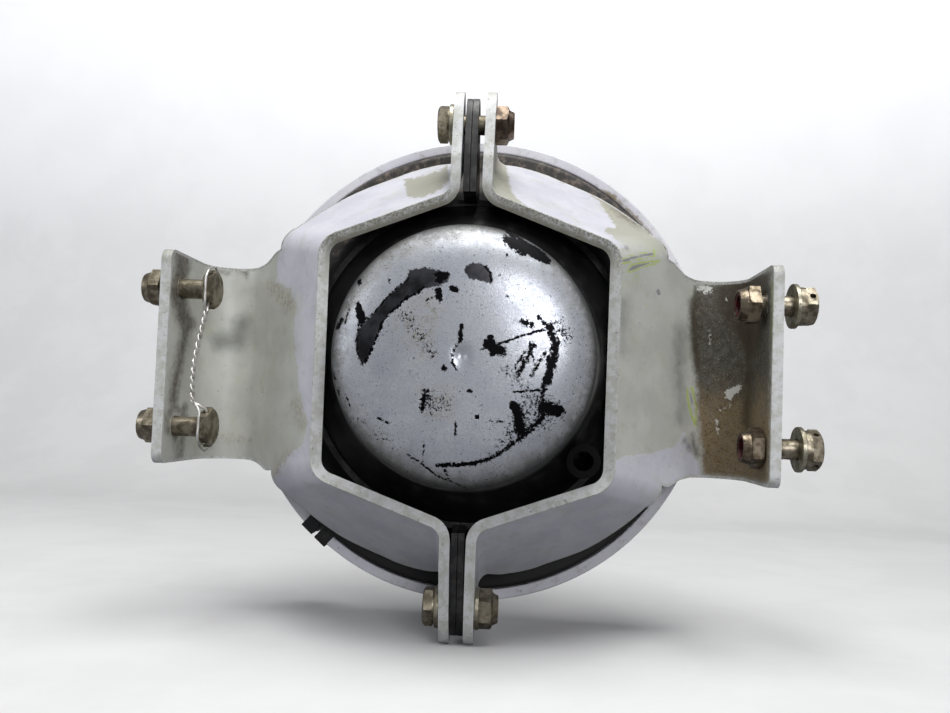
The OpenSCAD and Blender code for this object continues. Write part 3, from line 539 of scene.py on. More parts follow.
# Mesh tools
def curve_through(points, steps):
    """A smooth line through points, steps pieces for each gap."""
    pts = np.array(points, float)
    pts = np.vstack((2 * pts[0] - pts[1], pts, 2 * pts[-1] - pts[-2]))
    line = []
    for a, b, c, d in zip(pts, pts[1:], pts[2:], pts[3:]):
        for t in np.arange(steps) / steps:
            line.append(0.5 * (2 * b + (c - a) * t + (2 * a - 5 * b + 4 * c - d) * t ** 2
                               + (3 * b - a - 3 * c + d) * t ** 3))
    return np.array(line + [pts[-2]])


ROUND_STEPS = 4


def rounded(points, radius, closed=True):
    """A polygon with its corners rounded off by radius."""
    pts = np.array(points, float)
    line = []
    for i, p in enumerate(pts):
        if not closed and i in (0, len(pts) - 1):
            line.append(p)
            continue
        before = pts[i - 1] - p
        after = pts[(i + 1) % len(pts)] - p
        cut = min(radius, 0.45 * np.linalg.norm(before), 0.45 * np.linalg.norm(after))
        a = p + before / np.linalg.norm(before) * cut
        b = p + after / np.linalg.norm(after) * cut
        for t in np.arange(ROUND_STEPS + 1) / ROUND_STEPS:
            line.append((1 - t) ** 2 * a + 2 * t * (1 - t) * p + t ** 2 * b)
    return np.array(line)


def grid_faces(rows, columns, first=0, wrap=False):
    """Quads of a grid whose vertices are stored row by row."""
    faces = []
    for i in range(rows - 1):
        for j in range(columns if wrap else columns - 1):
            a = first + i * columns + j
            b = first + i * columns + (j + 1) % columns
            faces.append((a, b, b + columns, a + columns))
    return faces


def make_mesh(name, points, faces):
    """A mesh in metres from points in mm, merged, with its faces outwards."""
    mesh = bpy.data.meshes.new(name)
    mesh.from_pydata((np.array(points) * MM).tolist(), [], [tuple(f) for f in faces])
    work = bmesh.new()
    work.from_mesh(mesh)
    bmesh.ops.remove_doubles(work, verts=work.verts, dist=MERGE * MM)
    bmesh.ops.recalc_face_normals(work, faces=work.faces)
    work.to_mesh(mesh)
    work.free()
    return mesh


def add_object(name, data):
    """A new object in the scene, from a mesh or a light."""
    piece = bpy.data.objects.new(name, data)
    bpy.context.scene.collection.objects.link(piece)
    return piece


def settle(piece):
    """Applies a piece's modifiers, so that it is one plain mesh."""
    bpy.context.view_layer.update()
    shape = piece.evaluated_get(bpy.context.evaluated_depsgraph_get())
    mesh = bpy.data.meshes.new_from_object(shape)
    piece.modifiers.clear()
    piece.data = mesh


def smooth(piece, angle, even=True):
    """Smooth shading, broken at edges sharper than angle degrees."""
    piece.data.shade_smooth()
    piece.data.set_sharp_from_angle(angle=math.radians(angle))
    if even:
        weigh = piece.modifiers.new("even_normals", "WEIGHTED_NORMAL")
        weigh.keep_sharp = True


def fit(piece, node):
    """Gives a piece its finish, its body and the node that it stands for."""
    piece.data.materials.clear()
    piece.data.materials.append(FINISHES[SLOT_OF[node]])
    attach(piece, BODY_OF[node])
    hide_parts(node)


def break_edges(piece, width, segments, angle):
    """Rounds the edges sharper than angle degrees, over a width in mm."""
    ease = piece.modifiers.new("broken_edge", "BEVEL")
    ease.width = width * MM
    ease.segments = segments
    ease.limit_method = "ANGLE"
    ease.angle_limit = math.radians(angle)
    settle(piece)


def drill(piece, centre, direction, radius, length):
    """Cuts a round hole; centre, radius and length are in mm."""
    work = bmesh.new()
    bmesh.ops.create_cone(work, cap_ends=True, segments=64, radius1=radius * MM,
                          radius2=radius * MM, depth=length * MM)
    turn = Vector((0, 0, 1)).rotation_difference(Vector(direction)).to_matrix().to_4x4()
    turn.translation = Vector(centre) * MM
    bmesh.ops.transform(work, matrix=turn, verts=work.verts)
    mesh = bpy.data.meshes.new("drill")
    work.to_mesh(mesh)
    work.free()
    tool = add_object("drill", mesh)
    cut = piece.modifiers.new("hole", "BOOLEAN")
    cut.object = tool
    cut.solver = "EXACT"
    settle(piece)
    bpy.data.objects.remove(tool)


# Marks: where the paint is worn, soiled or of another coat. They are drawn over
# enlargements of the view, and each mesh point keeps its distance to them.
class Sheet:
    """An enlargement of the view: its corner in image pixels, and its zoom."""
    def __init__(self, u, v, zoom):
        self.corner = np.array((u, v), float)
        self.zoom = zoom

    def at(self, points):
        """Image positions of points on the enlargement."""
        return np.array(points, float) / self.zoom + self.corner

    def lines(self, *marks):
        """Open lines: for each, its width and then its points."""
        return [{"points": self.at(points), "half": width / self.zoom / 2, "closed": False}
                for width, *points in marks]

    def areas(self, *outlines):
        """Closed areas: for each, the points round it."""
        return [{"points": self.at(points), "half": 0.0, "closed": True}
                for points in outlines]


def seen_at(points):
    """Image position and pixels per mm of points in metres."""
    rel = points - np.array(EYE)
    depth = rel @ np.array(AHEAD)
    u = IMAGE_W / 2 + FOCAL_PX * (rel @ np.array(RIGHT)) / depth
    v = IMAGE_H / 2 - FOCAL_PX * (rel @ np.array(UP)) / depth
    return np.stack((u, v), 1), FOCAL_PX / depth * MM


def distance_to(mark, places):
    """Distance in pixels to a mark's edge, negative inside it."""
    pts = mark["points"]
    if len(pts) == 1:
        return np.linalg.norm(places - pts[0], axis=1) - mark["half"]
    ends = np.roll(pts, -1, 0)
    if not mark["closed"]:
        pts, ends = pts[:-1], ends[:-1]
    best = np.full(len(places), 1e9)
    within = np.zeros(len(places), bool)
    for a, b in zip(pts, ends):
        side = b - a
        t = np.clip(((places - a) @ side) / max(side @ side, 1e-9), 0, 1)
        best = np.minimum(best, np.linalg.norm(places - a - t[:, None] * side, axis=1))
        if mark["closed"]:
            crossed = (a[1] > places[:, 1]) != (b[1] > places[:, 1])
            at = a[0] + (places[:, 1] - a[1]) / (b[1] - a[1] + 1e-12) * side[0]
            within ^= crossed & (places[:, 0] < at)
    best = best - mark["half"]
    return np.where(within, -np.abs(best), best)


def keep(mesh, name, values):
    """Stores one number for each point of a mesh, under a name."""
    layer = mesh.attributes.new(name, "FLOAT", "POINT")
    layer.data.foreach_set("value", np.asarray(values, np.float32))


def mesh_points(mesh):
    """Places and normals of a mesh's points."""
    points = np.zeros(len(mesh.vertices) * 3)
    normals = np.zeros(len(mesh.vertices) * 3)
    mesh.vertices.foreach_get("co", points)
    mesh.vertices.foreach_get("normal", normals)
    return points.reshape(-1, 3), normals.reshape(-1, 3)


# What is stored where no mark is near, in mm
FAR = 20.0


def draw_marks(mesh, layers):
    """Stores, for each layer of marks, the distance in mm from every mesh point."""
    points, normals = mesh_points(mesh)
    places, scale = seen_at(points)
    facing = ((points - np.array(EYE)) * normals).sum(1) < 0
    for name, marks in layers.items():
        best = np.full(len(points), FAR)
        for mark in marks:
            best = np.minimum(best, distance_to(mark, places) / scale)
        keep(mesh, name, np.where(facing, best, FAR))


# Brackets
def oblique_z(x):
    """Height of the oblique panel's rear edge."""
    return CORNER_Z + (WALL_X - x) * math.tan(SLOPE)


# Far edge of the oblique panel in (x, z)
PANEL_EDGE = [(13, 71.2), (18.8, 70.5), (24, 69.2), (28, 67.5), (33, 65.5), (38, 63.4),
              (42.7, 60.9), (47, 57.8), (51, 54.3), (54.6, 50.8), (57.6, 47.3)]
# Ear outline in (y from the rear edge, z), from the rear round the tip to the front
EAR_EDGE = [(0, 64), (2.2, 73), (3.4, 79), (4.6, 83), (6, 86), (8, 88.6), (10.2, 89.7),
            (12.2, 88.8), (13.2, 86.4), (14, 83.8), (15.5, 81.3), (17.5, 79.3), (20, 77.8),
            (24, 76.6), (EAR_DEPTH, EAR_ROOT_Z + 1 + RISE * EAR_DEPTH)]
# Length of rear edge under the bend that the side wall's fan starts from
FAN = 2.6
BEND_STEPS = 14
SADDLE_STEPS = 31
FLANGE_STEPS = 19
CORNER_STEPS = 8
COLUMNS = 38
WALL_ROWS = 62


def half_rulings(end_z):
    """Straight lines of the sheet from its rear edge to its front edge, from the
    root of the ear round to the top of the saddle."""
    rulings = [((EAR_X, EDGE_Y, EAR_ROOT_Z + 1),
                (EAR_X, EDGE_Y + EAR_DEPTH, EAR_ROOT_Z + 1 + RISE * EAR_DEPTH))]
    for i in range(BEND_STEPS + 1):
        phi = TURN * i / BEND_STEPS
        x = EAR_X + EAR_BEND_R * (1 - math.cos(phi))
        z = EAR_ROOT_Z - EAR_BEND_R * math.sin(phi)
        rulings.append(((x, EDGE_Y, z), (x, EDGE_Y + EAR_DEPTH, z + RISE * EAR_DEPTH)))
    x0 = EAR_X + EAR_BEND_R * (1 - math.cos(TURN))
    x1 = WALL_X - BEND_R * BEND_K * math.cos(SLOPE)
    corner = []
    for i in range(BEND_STEPS + 1):
        phi = TURN * (1 - i / BEND_STEPS)
        x = WALL_X - BEND_R + BEND_R * math.cos(phi)
        z = SIDE_Z + BEND_R * math.sin(phi)
        corner.append(((x, EDGE_Y, z), (x + CORNER_REACH, EDGE_Y + CORNER_REACH,
                                        z + CORNER_RISE * CORNER_REACH)))
    first, last = rulings[-1][1], corner[0][1]
    edge = curve_through([(first[0], first[2])] + PANEL_EDGE + [(last[0], last[2])],
                         steps=4)
    for i in range(1, len(edge) - 1):
        u = i / (len(edge) - 1)
        near_x = x0 + (x1 - x0) * u
        x, z = edge[i]
        rulings.append(((near_x, EDGE_Y, oblique_z(near_x)),
                        (x, EDGE_Y + (z - oblique_z(x)) / RISE, z)))
    rulings += corner
    # the side wall fans out from its bend to the corner of the saddle
    low = end_z - SADDLE_HALF_Z + SADDLE_DROP
    reach = curve_through([(CORNER_REACH, corner[-1][1][2]), (20, 36.4 + 0.6 * low),
                           (22.4, 34.6 + 0.9 * low), (24.8, 33.3 + low),
                           (WALL_END, end_z)], steps=4)
    for i in range(1, len(reach)):
        near_z = SIDE_Z - FAN * i / (len(reach) - 1)
        d, z = reach[i]
        rulings.append(((WALL_X, EDGE_Y, near_z), (WALL_X + d, EDGE_Y + d, z)))
    return rulings


def bracket_skin():
    """The rear skin of a bracket on the +X side: points, faces, and for each point
    how far the back of the sheet is set from it besides its thickness."""
    upper = half_rulings(SADDLE_HALF_Z - SADDLE_DROP)
    lower = [tuple((x, y, -z) for x, y, z in ends)
             for ends in reversed(half_rulings(SADDLE_HALF_Z + SADDLE_DROP))]
    a, b = np.array(upper[-1]), np.array(lower[0])
    wall = [a + (b - a) * i / WALL_ROWS for i in range(1, WALL_ROWS)]
    rulings = np.array(upper + wall + lower)
    t = np.linspace(0, 1, COLUMNS)[None, :, None]
    sheet = rulings[:, :1] * (1 - t) + rulings[:, 1:] * t
    rows = len(rulings)
    points = list(sheet.reshape(-1, 3))
    faces = grid_faces(rows, COLUMNS)
    setback = np.zeros((len(points), 3))
    for i, (near, far) in enumerate(rulings):
        setback[i * COLUMNS] = (far - near) / (far[1] - near[1])
    # saddle and flange: the wall's rows carried on round the bend
    bend = [(SADDLE_X + SADDLE_R * math.cos(s), SADDLE_Y + SADDLE_R * math.sin(s), 0)
            for s in np.radians(np.linspace(135, 0, SADDLE_STEPS + 1))]
    flat = [(FLANGE_FACE_X, y, 0)
            for y in np.linspace(SADDLE_Y, FLANGE_Y0 + FLANGE_CORNER_R, FLANGE_STEPS + 1)[1:]]
    corner = [(FLANGE_FACE_X, FLANGE_Y0 + FLANGE_CORNER_R * (1 - math.sin(s)),
               FLANGE_CORNER_R * (1 - math.cos(s)))
              for s in np.radians(np.linspace(0, 90, CORNER_STEPS + 1)[1:])]
    top, bottom = SADDLE_HALF_Z - SADDLE_DROP, -SADDLE_HALF_Z - SADDLE_DROP
    middle = (top + bottom) / 2
    first = len(points)
    across = bend + flat + corner
    for i in range(len(upper) - 1, len(upper) + len(wall) + 1):
        z = rulings[i][1][2]
        for x, y, less in across:
            points.append(np.array((x, y, middle + (z - middle)
                                    * (top - middle - less) / (top - middle))))
    faces += grid_faces(WALL_ROWS + 1, len(across), first)
    # ears: one flat face on each end row
    edge = curve_through(EAR_EDGE, steps=6)
    for row, sign in ((0, 1), (rows - 1, -1)):
        base = len(points)
        for y, z in edge[:-1]:
            points.append(np.array((EAR_X, EDGE_Y + y, sign * z)))
        faces.append([row * COLUMNS + j for j in range(COLUMNS)]
                     + list(range(len(points) - 1, base - 1, -1)))
    setback = np.vstack((setback, np.zeros((len(points) - len(setback), 3))))
    return np.array(points), faces, setback


# The rear edge is cut between square to the sheet (0) and flat across the beam (1)
FLUSH_SHARE = 0.425


def thickened(points, faces, setback):
    """Closes a skin into a plate of PLATE_T; returns its points, faces and rim."""
    work = bmesh.new()
    tag = work.verts.layers.int.new("source")
    verts = [work.verts.new(p) for p in points]
    for i, v in enumerate(verts):
        v[tag] = i
    for f in faces:
        work.faces.new([verts[i] for i in f])
    bmesh.ops.remove_doubles(work, verts=work.verts, dist=MERGE)
    bmesh.ops.recalc_face_normals(work, faces=work.faces)
    work.verts.ensure_lookup_table()
    work.verts.index_update()
    work.normal_update()
    widest = max(work.verts, key=lambda v: v.co.x)
    flip = 1 if widest.normal.x < 0 else -1
    front = np.array([v.co for v in work.verts])
    normal = np.array([v.normal for v in work.verts]) * flip
    source = [v[tag] for v in work.verts]
    extra = setback[source] * (FLUSH_SHARE * PLATE_T * np.abs(normal[:, 1]))[:, None]
    back = front - PLATE_T * normal - extra
    n = len(front)
    out = []
    rim = set()
    for f in work.faces:
        ids = [v.index for v in f.verts]
        out += [ids, [i + n for i in reversed(ids)]]
    for e in work.edges:
        if e.is_boundary:
            a, b = (v.index for v in e.verts)
            out.append([a, b, b + n, a + n])
            rim |= {a, b}
    work.free()
    rim = sorted(rim)
    return np.vstack((front, back)), out, np.vstack((front[rim], back[rim]))


def leaned(points, side):
    """Puts points of the +X bracket where the left or the right bracket stands."""
    lean = RIGHT_LEAN if side > 0 else -LEFT_LEAN
    shift = -RIGHT_SHIFT if side > 0 else -LEFT_SHIFT
    pts = points * np.array((side, 1, 1))
    x = pts[:, 0] * math.cos(lean) + pts[:, 2] * math.sin(lean) + shift
    z = -pts[:, 0] * math.sin(lean) + pts[:, 2] * math.cos(lean)
    return np.stack((x, pts[:, 1], z), 1)


PHOTO_SHEET = Sheet(0, 0, 1)
LEFT_SHEET = Sheet(140, 235, 5.6)
RIGHT_SHEET = Sheet(590, 190, 5)
DOME_SHEET = Sheet(325, 200, 4.8386)

# Both brackets share one finish, so each has all its layers, if only empty ones
LEFT_MARKS = {
    "lavender": LEFT_SHEET.areas(
        [(785, -600), (785, 70), (768, 180), (765, 260), (845, 300), (872, 400), (862, 560),
         (874, 700), (895, 900), (940, 1050), (905, 1180), (832, 1230), (775, 1310), (740, 1400),
         (700, 1500), (640, 2300), (2400, 2300), (2400, -900), (900, -900)]),
    "soil": [],
    "stain": LEFT_SHEET.lines(
        (70, (740, 290), (800, 335), (840, 390)),
        (40, (880, 940), (910, 1060)),
        (36, (840, 1220), (760, 1330)),
        (20, (300, 1120), (600, 1150))),
    "olive": PHOTO_SHEET.areas(
        [(404, 180), (420, 177), (436, 172), (447, 166), (449, 180), (440, 190), (424, 197),
         (408, 198)]),
    "grime_and_shadow": LEFT_SHEET.lines(
        (84, (240, 110), (235, 200), (205, 310), (230, 420), (268, 500)),
        (46, (268, 500), (235, 640), (205, 800), (185, 930)),
        (22, (185, 955), (150, 1020), (160, 1100), (200, 1130), (235, 1080), (238, 1010),
         (200, 960)),
        (26, (250, 960), (240, 1100), (225, 1240)),
        (9, (445, 205), (490, 216), (530, 178), (565, 180)))
    + LEFT_SHEET.areas(
        [(530, 172), (612, 188), (600, 240), (575, 215), (540, 205)]),
    "smudge_and_shade": LEFT_SHEET.lines(
        (90, (450, 600), (540, 590), (570, 500))),
    "primer": LEFT_SHEET.lines(
        (7, (618, 178), (634, 193), (664, 180)),
        (4, (560, 780), (600, 740))),
    "scrape": LEFT_SHEET.lines(
        (5, (620, 850), (628, 872)),
        (7, (690, 848), (685, 888))),
    "pale": LEFT_SHEET.lines(
        (3, (700, 850), (697, 880)),
        (8, (455, 172), (510, 166))),
}

RIGHT_MARKS = {
    "lavender": PHOTO_SHEET.areas(
        [(505, 160), (518, 164), (530, 163), (536, 172), (552, 176), (566, 184), (574, 181),
         (584, 188), (598, 200), (606, 212), (614, 223), (617, 227), (609, 228), (605, 231),
         (610, 235), (620, 241), (627, 248), (616, 249), (606, 245), (580, 232), (560, 222),
         (540, 214), (522, 204), (512, 192), (508, 178)])
    + RIGHT_SHEET.areas(
        [(40, 1380), (180, 1335), (300, 1320), (420, 1280), (470, 1200), (560, 1420), (560, 1500),
         (-900, 2600), (-900, 1600)]),
    "soil": RIGHT_SHEET.areas(
        [(528, 482), (620, 470), (745, 450), (905, 400), (915, 700), (905, 1100), (900, 1470),
         (740, 1440), (565, 1425), (556, 1300), (536, 1120), (528, 950), (512, 800), (500, 640),
         (508, 540)]),
    # the first area, round and below the upper nut, is grime and the nut's painted shadow
    "grime_and_shadow": RIGHT_SHEET.areas(
        [(640, 480), (860, 430), (890, 600), (860, 760), (800, 870), (720, 700), (640, 600)])
    + RIGHT_SHEET.lines(
        (26, (512, 560), (520, 760), (540, 900)),
        (40, (800, 900), (780, 1150), (860, 1330)),
        (16, (478, 1255), (500, 1300)),
        (14, (512, 1225), (532, 1325)),
        (8, (447, 862)),
        (8, (180, 292)))
    + PHOTO_SHEET.lines(
        (1.6, (560, 176), (600, 194), (622, 216), (650, 232))),
    "stain": PHOTO_SHEET.lines(
        (3.5, (575, 182), (598, 196), (612, 212), (630, 224)),
        (4, (493, 150), (500, 170), (508, 190))),
    "olive": [],
    # the first line is a band of painted shade down the right wall's bend into the saddle
    "smudge_and_shade": RIGHT_SHEET.lines(
        (40, (450, 700), (450, 1150)),
        (24, (170, 560), (165, 800))),
    "primer": RIGHT_SHEET.lines(
        (8, (150, 352), (200, 328), (322, 302), (324, 330), (250, 345), (170, 368), (150, 352)),
        (8, (186, 408), (205, 375), (262, 362), (350, 352), (330, 368), (262, 386), (200, 412),
         (186, 408)),
        (5, (214, 466), (222, 432), (256, 424), (238, 462)),
        (8, (252, 505), (264, 492)),
        (14, (278, 570)),
        (9, (297, 640)),
        (8, (450, 640)),
        (10, (486, 990), (510, 990), (532, 1080), (528, 1180), (505, 1120), (490, 1050),
         (486, 990)),
        (5, (912, 440), (908, 700), (918, 1100), (922, 1390))),
    "scrape": RIGHT_SHEET.areas(
        [(158, 352), (205, 334), (318, 310), (316, 326), (240, 338), (172, 362)],
        [(192, 402), (212, 380), (265, 368), (325, 358), (262, 380), (202, 405)])
    + RIGHT_SHEET.lines(
        (16, (340, 500), (345, 520)),
        (9, (500, 1010), (512, 1070))),
    "pale": RIGHT_SHEET.lines(
        (22, (545, 495), (600, 488)),
        (14, (575, 515), (600, 508)),
        (9, (700, 1075), (655, 1105)),
        (8, (632, 1150), (640, 1215)),
        (6, (600, 700), (598, 770)),
        (12, (683, 550)))
    + RIGHT_SHEET.areas(
        [(668, 1010), (720, 985), (765, 975), (740, 1010), (700, 1050), (680, 1045)]),
}


# Length of the drill, which is centred in the sheet
HOLE_DEPTH = 8
# The cut edge: its rounding, and how far wear reaches over it and past its corners
CUT_EDGE_R = 0.4
EDGE_WEAR = 1.1
NEAR_WEAR = 1.2
BACK_WEAR = 1.5


def rim_distance(points, rim):
    """Distance from each point to the nearest point of a rim."""
    tree = kdtree.KDTree(len(rim))
    for i, p in enumerate(rim):
        tree.insert(p, i)
    tree.balance()
    return np.array([tree.find(p)[2] for p in points])


def build_bracket(node, side, marks):
    """The left (side -1) or right (side 1) bracket, drilled and worn."""
    points, faces, setback = bracket_skin()
    points, faces, rim = thickened(points, faces, setback)
    piece = add_object(node + "_sheet", make_mesh(node, leaned(points, side), faces))
    break_edges(piece, CUT_EDGE_R, segments=3, angle=42)
    lean = RIGHT_LEAN if side > 0 else -LEFT_LEAN
    along = (math.cos(lean), 0, -math.sin(lean))
    ears = [(EAR_GAP / 2 + PLATE_T / 2, EAR_BOLT_Y, s * EAR_BOLT_Z) for s in (-1, 1)]
    holes = [(FLANGE_FACE_X + PLATE_T / 2, 0, s * BOLT_SPACING / 2 - SADDLE_DROP)
             for s in (-1, 1)]
    for centre in leaned(np.array(ears + holes), side):
        drill(piece, centre, along, HOLE_R, HOLE_DEPTH)
    mesh = piece.data
    draw_marks(mesh, marks)
    places = mesh_points(mesh)[0] / MM
    half = len(rim) // 2
    front = rim_distance(places, leaned(rim[:half], side))
    back = rim_distance(places, leaned(rim[half:], side))
    keep(mesh, "rim", front + back - PLATE_T - EDGE_WEAR)
    keep(mesh, "rim_near", front - NEAR_WEAR)
    keep(mesh, "rim_back", back - BACK_WEAR)
    smooth(piece, angle=32)
    fit(piece, node)


# Housing
def revolve(profile, segments):
    """Turns an (r, y) outline, which starts and ends at the beam axis, once round."""
    points = []
    for k in range(segments):
        a = 2 * math.pi * k / segments
        points += [(r * math.cos(a), y, r * math.sin(a)) for r, y in profile]
    n = len(profile)
    faces = []
    for k in range(segments):
        for j in range(n - 1):
            a, b = k * n + j, ((k + 1) % segments) * n + j
            faces.append((a, b, b + 1, a + 1))
    return points, faces


def offset_line(line, distance):
    """A line moved sideways, to the left of its direction."""
    ahead = np.gradient(line, axis=0)
    side = np.stack((-ahead[:, 1], ahead[:, 0]), 1)
    return line + distance * side / np.linalg.norm(side, axis=1)[:, None]


DOME_MARKS = {
    "crescent": DOME_SHEET.areas(
        [(410, 340), (440, 335), (480, 325), (520, 335), (560, 345), (600, 350), (603, 370),
         (590, 395), (560, 410), (520, 420), (480, 425), (440, 455), (400, 470), (370, 490),
         (345, 520), (300, 560), (275, 600), (255, 650), (235, 690), (215, 750), (180, 800),
         (165, 770), (150, 720), (150, 660), (165, 620), (190, 590), (215, 570), (250, 530),
         (290, 480), (330, 440), (370, 410), (400, 380)],
        [(675, 330), (700, 308), (740, 305), (780, 320), (800, 350), (815, 385), (805, 402),
         (770, 395), (740, 385), (700, 380), (678, 350)]),
    "knocked": DOME_SHEET.areas(
        [(900, 175), (1000, 215), (1060, 250), (1100, 300), (1085, 312), (1040, 298), (1000, 278),
         (970, 255), (930, 225), (895, 200)],
        [(150, 500), (165, 490), (185, 530), (200, 570), (190, 600), (160, 610), (148, 540)],
        [(520, 350), (560, 345), (600, 352), (600, 375), (560, 405), (530, 400), (540, 375)],
        [(598, 425), (615, 412), (640, 420), (652, 440), (648, 455), (625, 445), (605, 440)])
    + DOME_SHEET.lines(
        (13, (480, 425), (440, 455), (400, 470), (345, 520), (300, 560), (275, 600), (255, 650),
         (215, 750), (182, 800)),
        (9, (165, 770), (150, 700), (165, 620), (190, 590), (250, 530), (330, 440), (405, 380)),
        (12, (805, 395), (800, 350), (775, 322)),
        (34, (550, 440), (552, 470)),
        (9, (490, 485), (515, 474), (540, 466)),
        (7, (525, 530), (545, 510), (565, 490)),
        (9, (590, 497)),
        (11, (845, 367)),
        (14, (880, 465)),
        (12, (310, 385), (311, 400)),
        (18, (168, 390), (166, 410)),
        (16, (876, 150), (930, 180), (965, 205)),
        (12, (880, 268)),
        (22, (660, 605), (655, 640), (655, 678)),
        (8, (655, 680), (630, 715), (615, 760)),
        (11, (612, 740), (618, 790), (638, 826)),
        (30, (575, 812)),
        (10, (752, 722), (800, 715), (850, 694), (960, 655), (1092, 618)),
        (34, (800, 670), (812, 740)),
        (16, (1036, 562), (1045, 580), (1068, 600)),
        (13, (965, 735), (940, 775), (916, 812)),
        (9, (990, 690), (1000, 740), (1017, 800)),
        (16, (1128, 690), (1118, 740), (1098, 790)),
        (22, (1080, 760), (1086, 830), (1062, 870)),
        (12, (1058, 905), (1052, 990)),
        (18, (1088, 985), (1062, 1040), (1030, 1080)),
        (14, (1010, 1085), (985, 1110)),
        (8, (930, 1155), (900, 1175)),
        (20, (545, 1283), (640, 1282), (720, 1275), (790, 1255)),
        (13, (790, 1255), (850, 1222), (900, 1180)),
        (9, (915, 928), (1085, 916)),
        (42, (912, 990), (932, 1040)),
        (7, (900, 1050), (888, 1100), (878, 1137)),
        (7, (960, 1040), (975, 1095)),
        (24, (735, 1050)),
        (11, (805, 1072), (858, 1072)),
        (14, (633, 1075), (628, 1140)),
        (15, (690, 922), (705, 928)),
        (11, (258, 1055), (290, 1070), (306, 1082)),
        (5, (160, 1055), (180, 1075), (202, 1086)),
        (7, (95, 940), (108, 965), (120, 997)),
        (12, (20, 800), (48, 868)),
        (20, (60, 620), (80, 580)),
        (8, (95, 600), (118, 530)),
        (8, (398, 1232), (470, 1275), (540, 1335), (600, 1357)),
        (4, (600, 1357), (660, 1385), (742, 1422)),
        (5, (480, 1172), (470, 1262)),
        (10, (575, 1300), (600, 1355)),
        (7, (62, 905), (68, 940))),
    "rubbed": DOME_SHEET.lines(
        (34, (1085, 610), (1115, 700), (1100, 800), (1080, 880)),
        (18, (1060, 880), (1050, 960), (1048, 1050), (1000, 1110), (950, 1155)),
        (22, (1010, 700), (960, 800), (930, 850)),
        (14, (1060, 740), (1000, 850)),
        (12, (950, 1155), (880, 1205), (800, 1250)),
        (60, (1060, 1000), (1130, 1020)),
        (52, (785, 700), (850, 730)),
        (26, (955, 590), (1000, 600)),
        (26, (470, 1010), (490, 930)),
        (40, (880, 190), (960, 250)),
        (50, (930, 1010), (945, 1120))),
    "speckled": DOME_SHEET.lines(
        (90, (1120, 600), (1170, 660)),
        (50, (230, 1120), (330, 1190)),
        (80, (390, 560), (520, 740)),
        (70, (880, 820), (960, 900)))
    + DOME_SHEET.areas(
        [(450, 905), (520, 905), (625, 960), (620, 1030), (500, 1060), (450, 990)],
        [(960, 900), (1150, 960), (1120, 1090), (900, 1210), (760, 1230), (860, 1130)]),
    "tan": DOME_SHEET.areas(
        [(340, 470), (520, 440), (600, 520), (560, 640), (540, 780), (440, 780), (330, 620)],
        [(150, 300), (300, 190), (450, 150), (640, 100), (860, 130), (700, 170), (450, 230),
         (300, 330), (150, 480), (60, 620), (40, 500)],
        [(450, 900), (630, 900), (630, 1060), (450, 1060)],
        [(20, 950), (160, 1120), (420, 1290), (700, 1420), (400, 1450), (100, 1300), (0, 1050)]),
}
# The dent: its middle, and its half width and height, in image pixels, its depth,
# and the crown that holds it: its radius, and the y that it stays behind
DENT = DOME_SHEET.at((657, 748))
DENT_SIZE = np.array((6.2, 8.6))
DENT_DEPTH = 1.0
CROWN_R = 30
CROWN_Y = -15


def build_housing():
    """The spun shell: an outline turned about the beam, a grommet hole and a dent."""
    r = np.concatenate(([POLE_R], np.linspace(0.5, 33.5, 68), np.linspace(34, 39.2, 22)))
    t = (r / DOME_R) ** 1.5
    dome = np.stack((r, SHOULDER_Y - DOME_DEPTH * np.sqrt(1 - t ** 2)), 1)
    skirt = rounded([(DOME_R, SHOULDER_Y), (DOME_R + 0.9, SHOULDER_Y + 5.5),
                     (41.3, EDGE_Y - 3), (42, EDGE_Y), (44.6, EDGE_Y + 3.2),
                     (SKIRT_R, 8.4), (SKIRT_R, 19.9), (SKIRT_R + 2, 22.4),
                     (RIM_R - 15.5, 28.5), (RIM_R - 12, 31.4), (RIM_R - 8.5, FLANGE_Y),
                     (RIM_R, FLANGE_Y), (RIM_R, RIM_Y)], SHELL_T, closed=False)
    outer = np.vstack((dome, skirt))
    inner = offset_line(outer, SHELL_T)[::3]
    inner[0] = (POLE_R, dome[0][1] + SHELL_T)
    inner[-1] = (RIM_R - SHELL_T, RIM_Y)
    points, faces = revolve(np.vstack((outer, inner[::-1])), HOUSING_STEPS)
    piece = add_object("housing_spinning", make_mesh("housing", points, faces))
    boss = (BOSS_R * math.cos(BOSS_ANGLE), 0, BOSS_R * math.sin(BOSS_ANGLE))
    drill(piece, boss, (0, 1, 0), GROMMET_HOLE_R, GROMMET_HOLE_DEPTH)
    mesh = piece.data
    co = mesh_points(mesh)[0]
    off = (seen_at(co)[0] - DENT) / DENT_SIZE
    on_dome = (np.hypot(co[:, 0], co[:, 2]) < CROWN_R * MM) & (co[:, 1] < CROWN_Y * MM)
    co[:, 1] += np.where(on_dome, DENT_DEPTH * MM * np.exp(-(off ** 2).sum(1)), 0)
    mesh.vertices.foreach_set("co", co.ravel())
    mesh.update()
    draw_marks(mesh, DOME_MARKS)
    smooth(piece, angle=40, even=False)
    fit(piece, "housing_shell")


WORN_RING = {
    "worn": PHOTO_SHEET.lines(
        (4.5, (604, 189), (622, 202), (638, 218), (652, 234))),
}


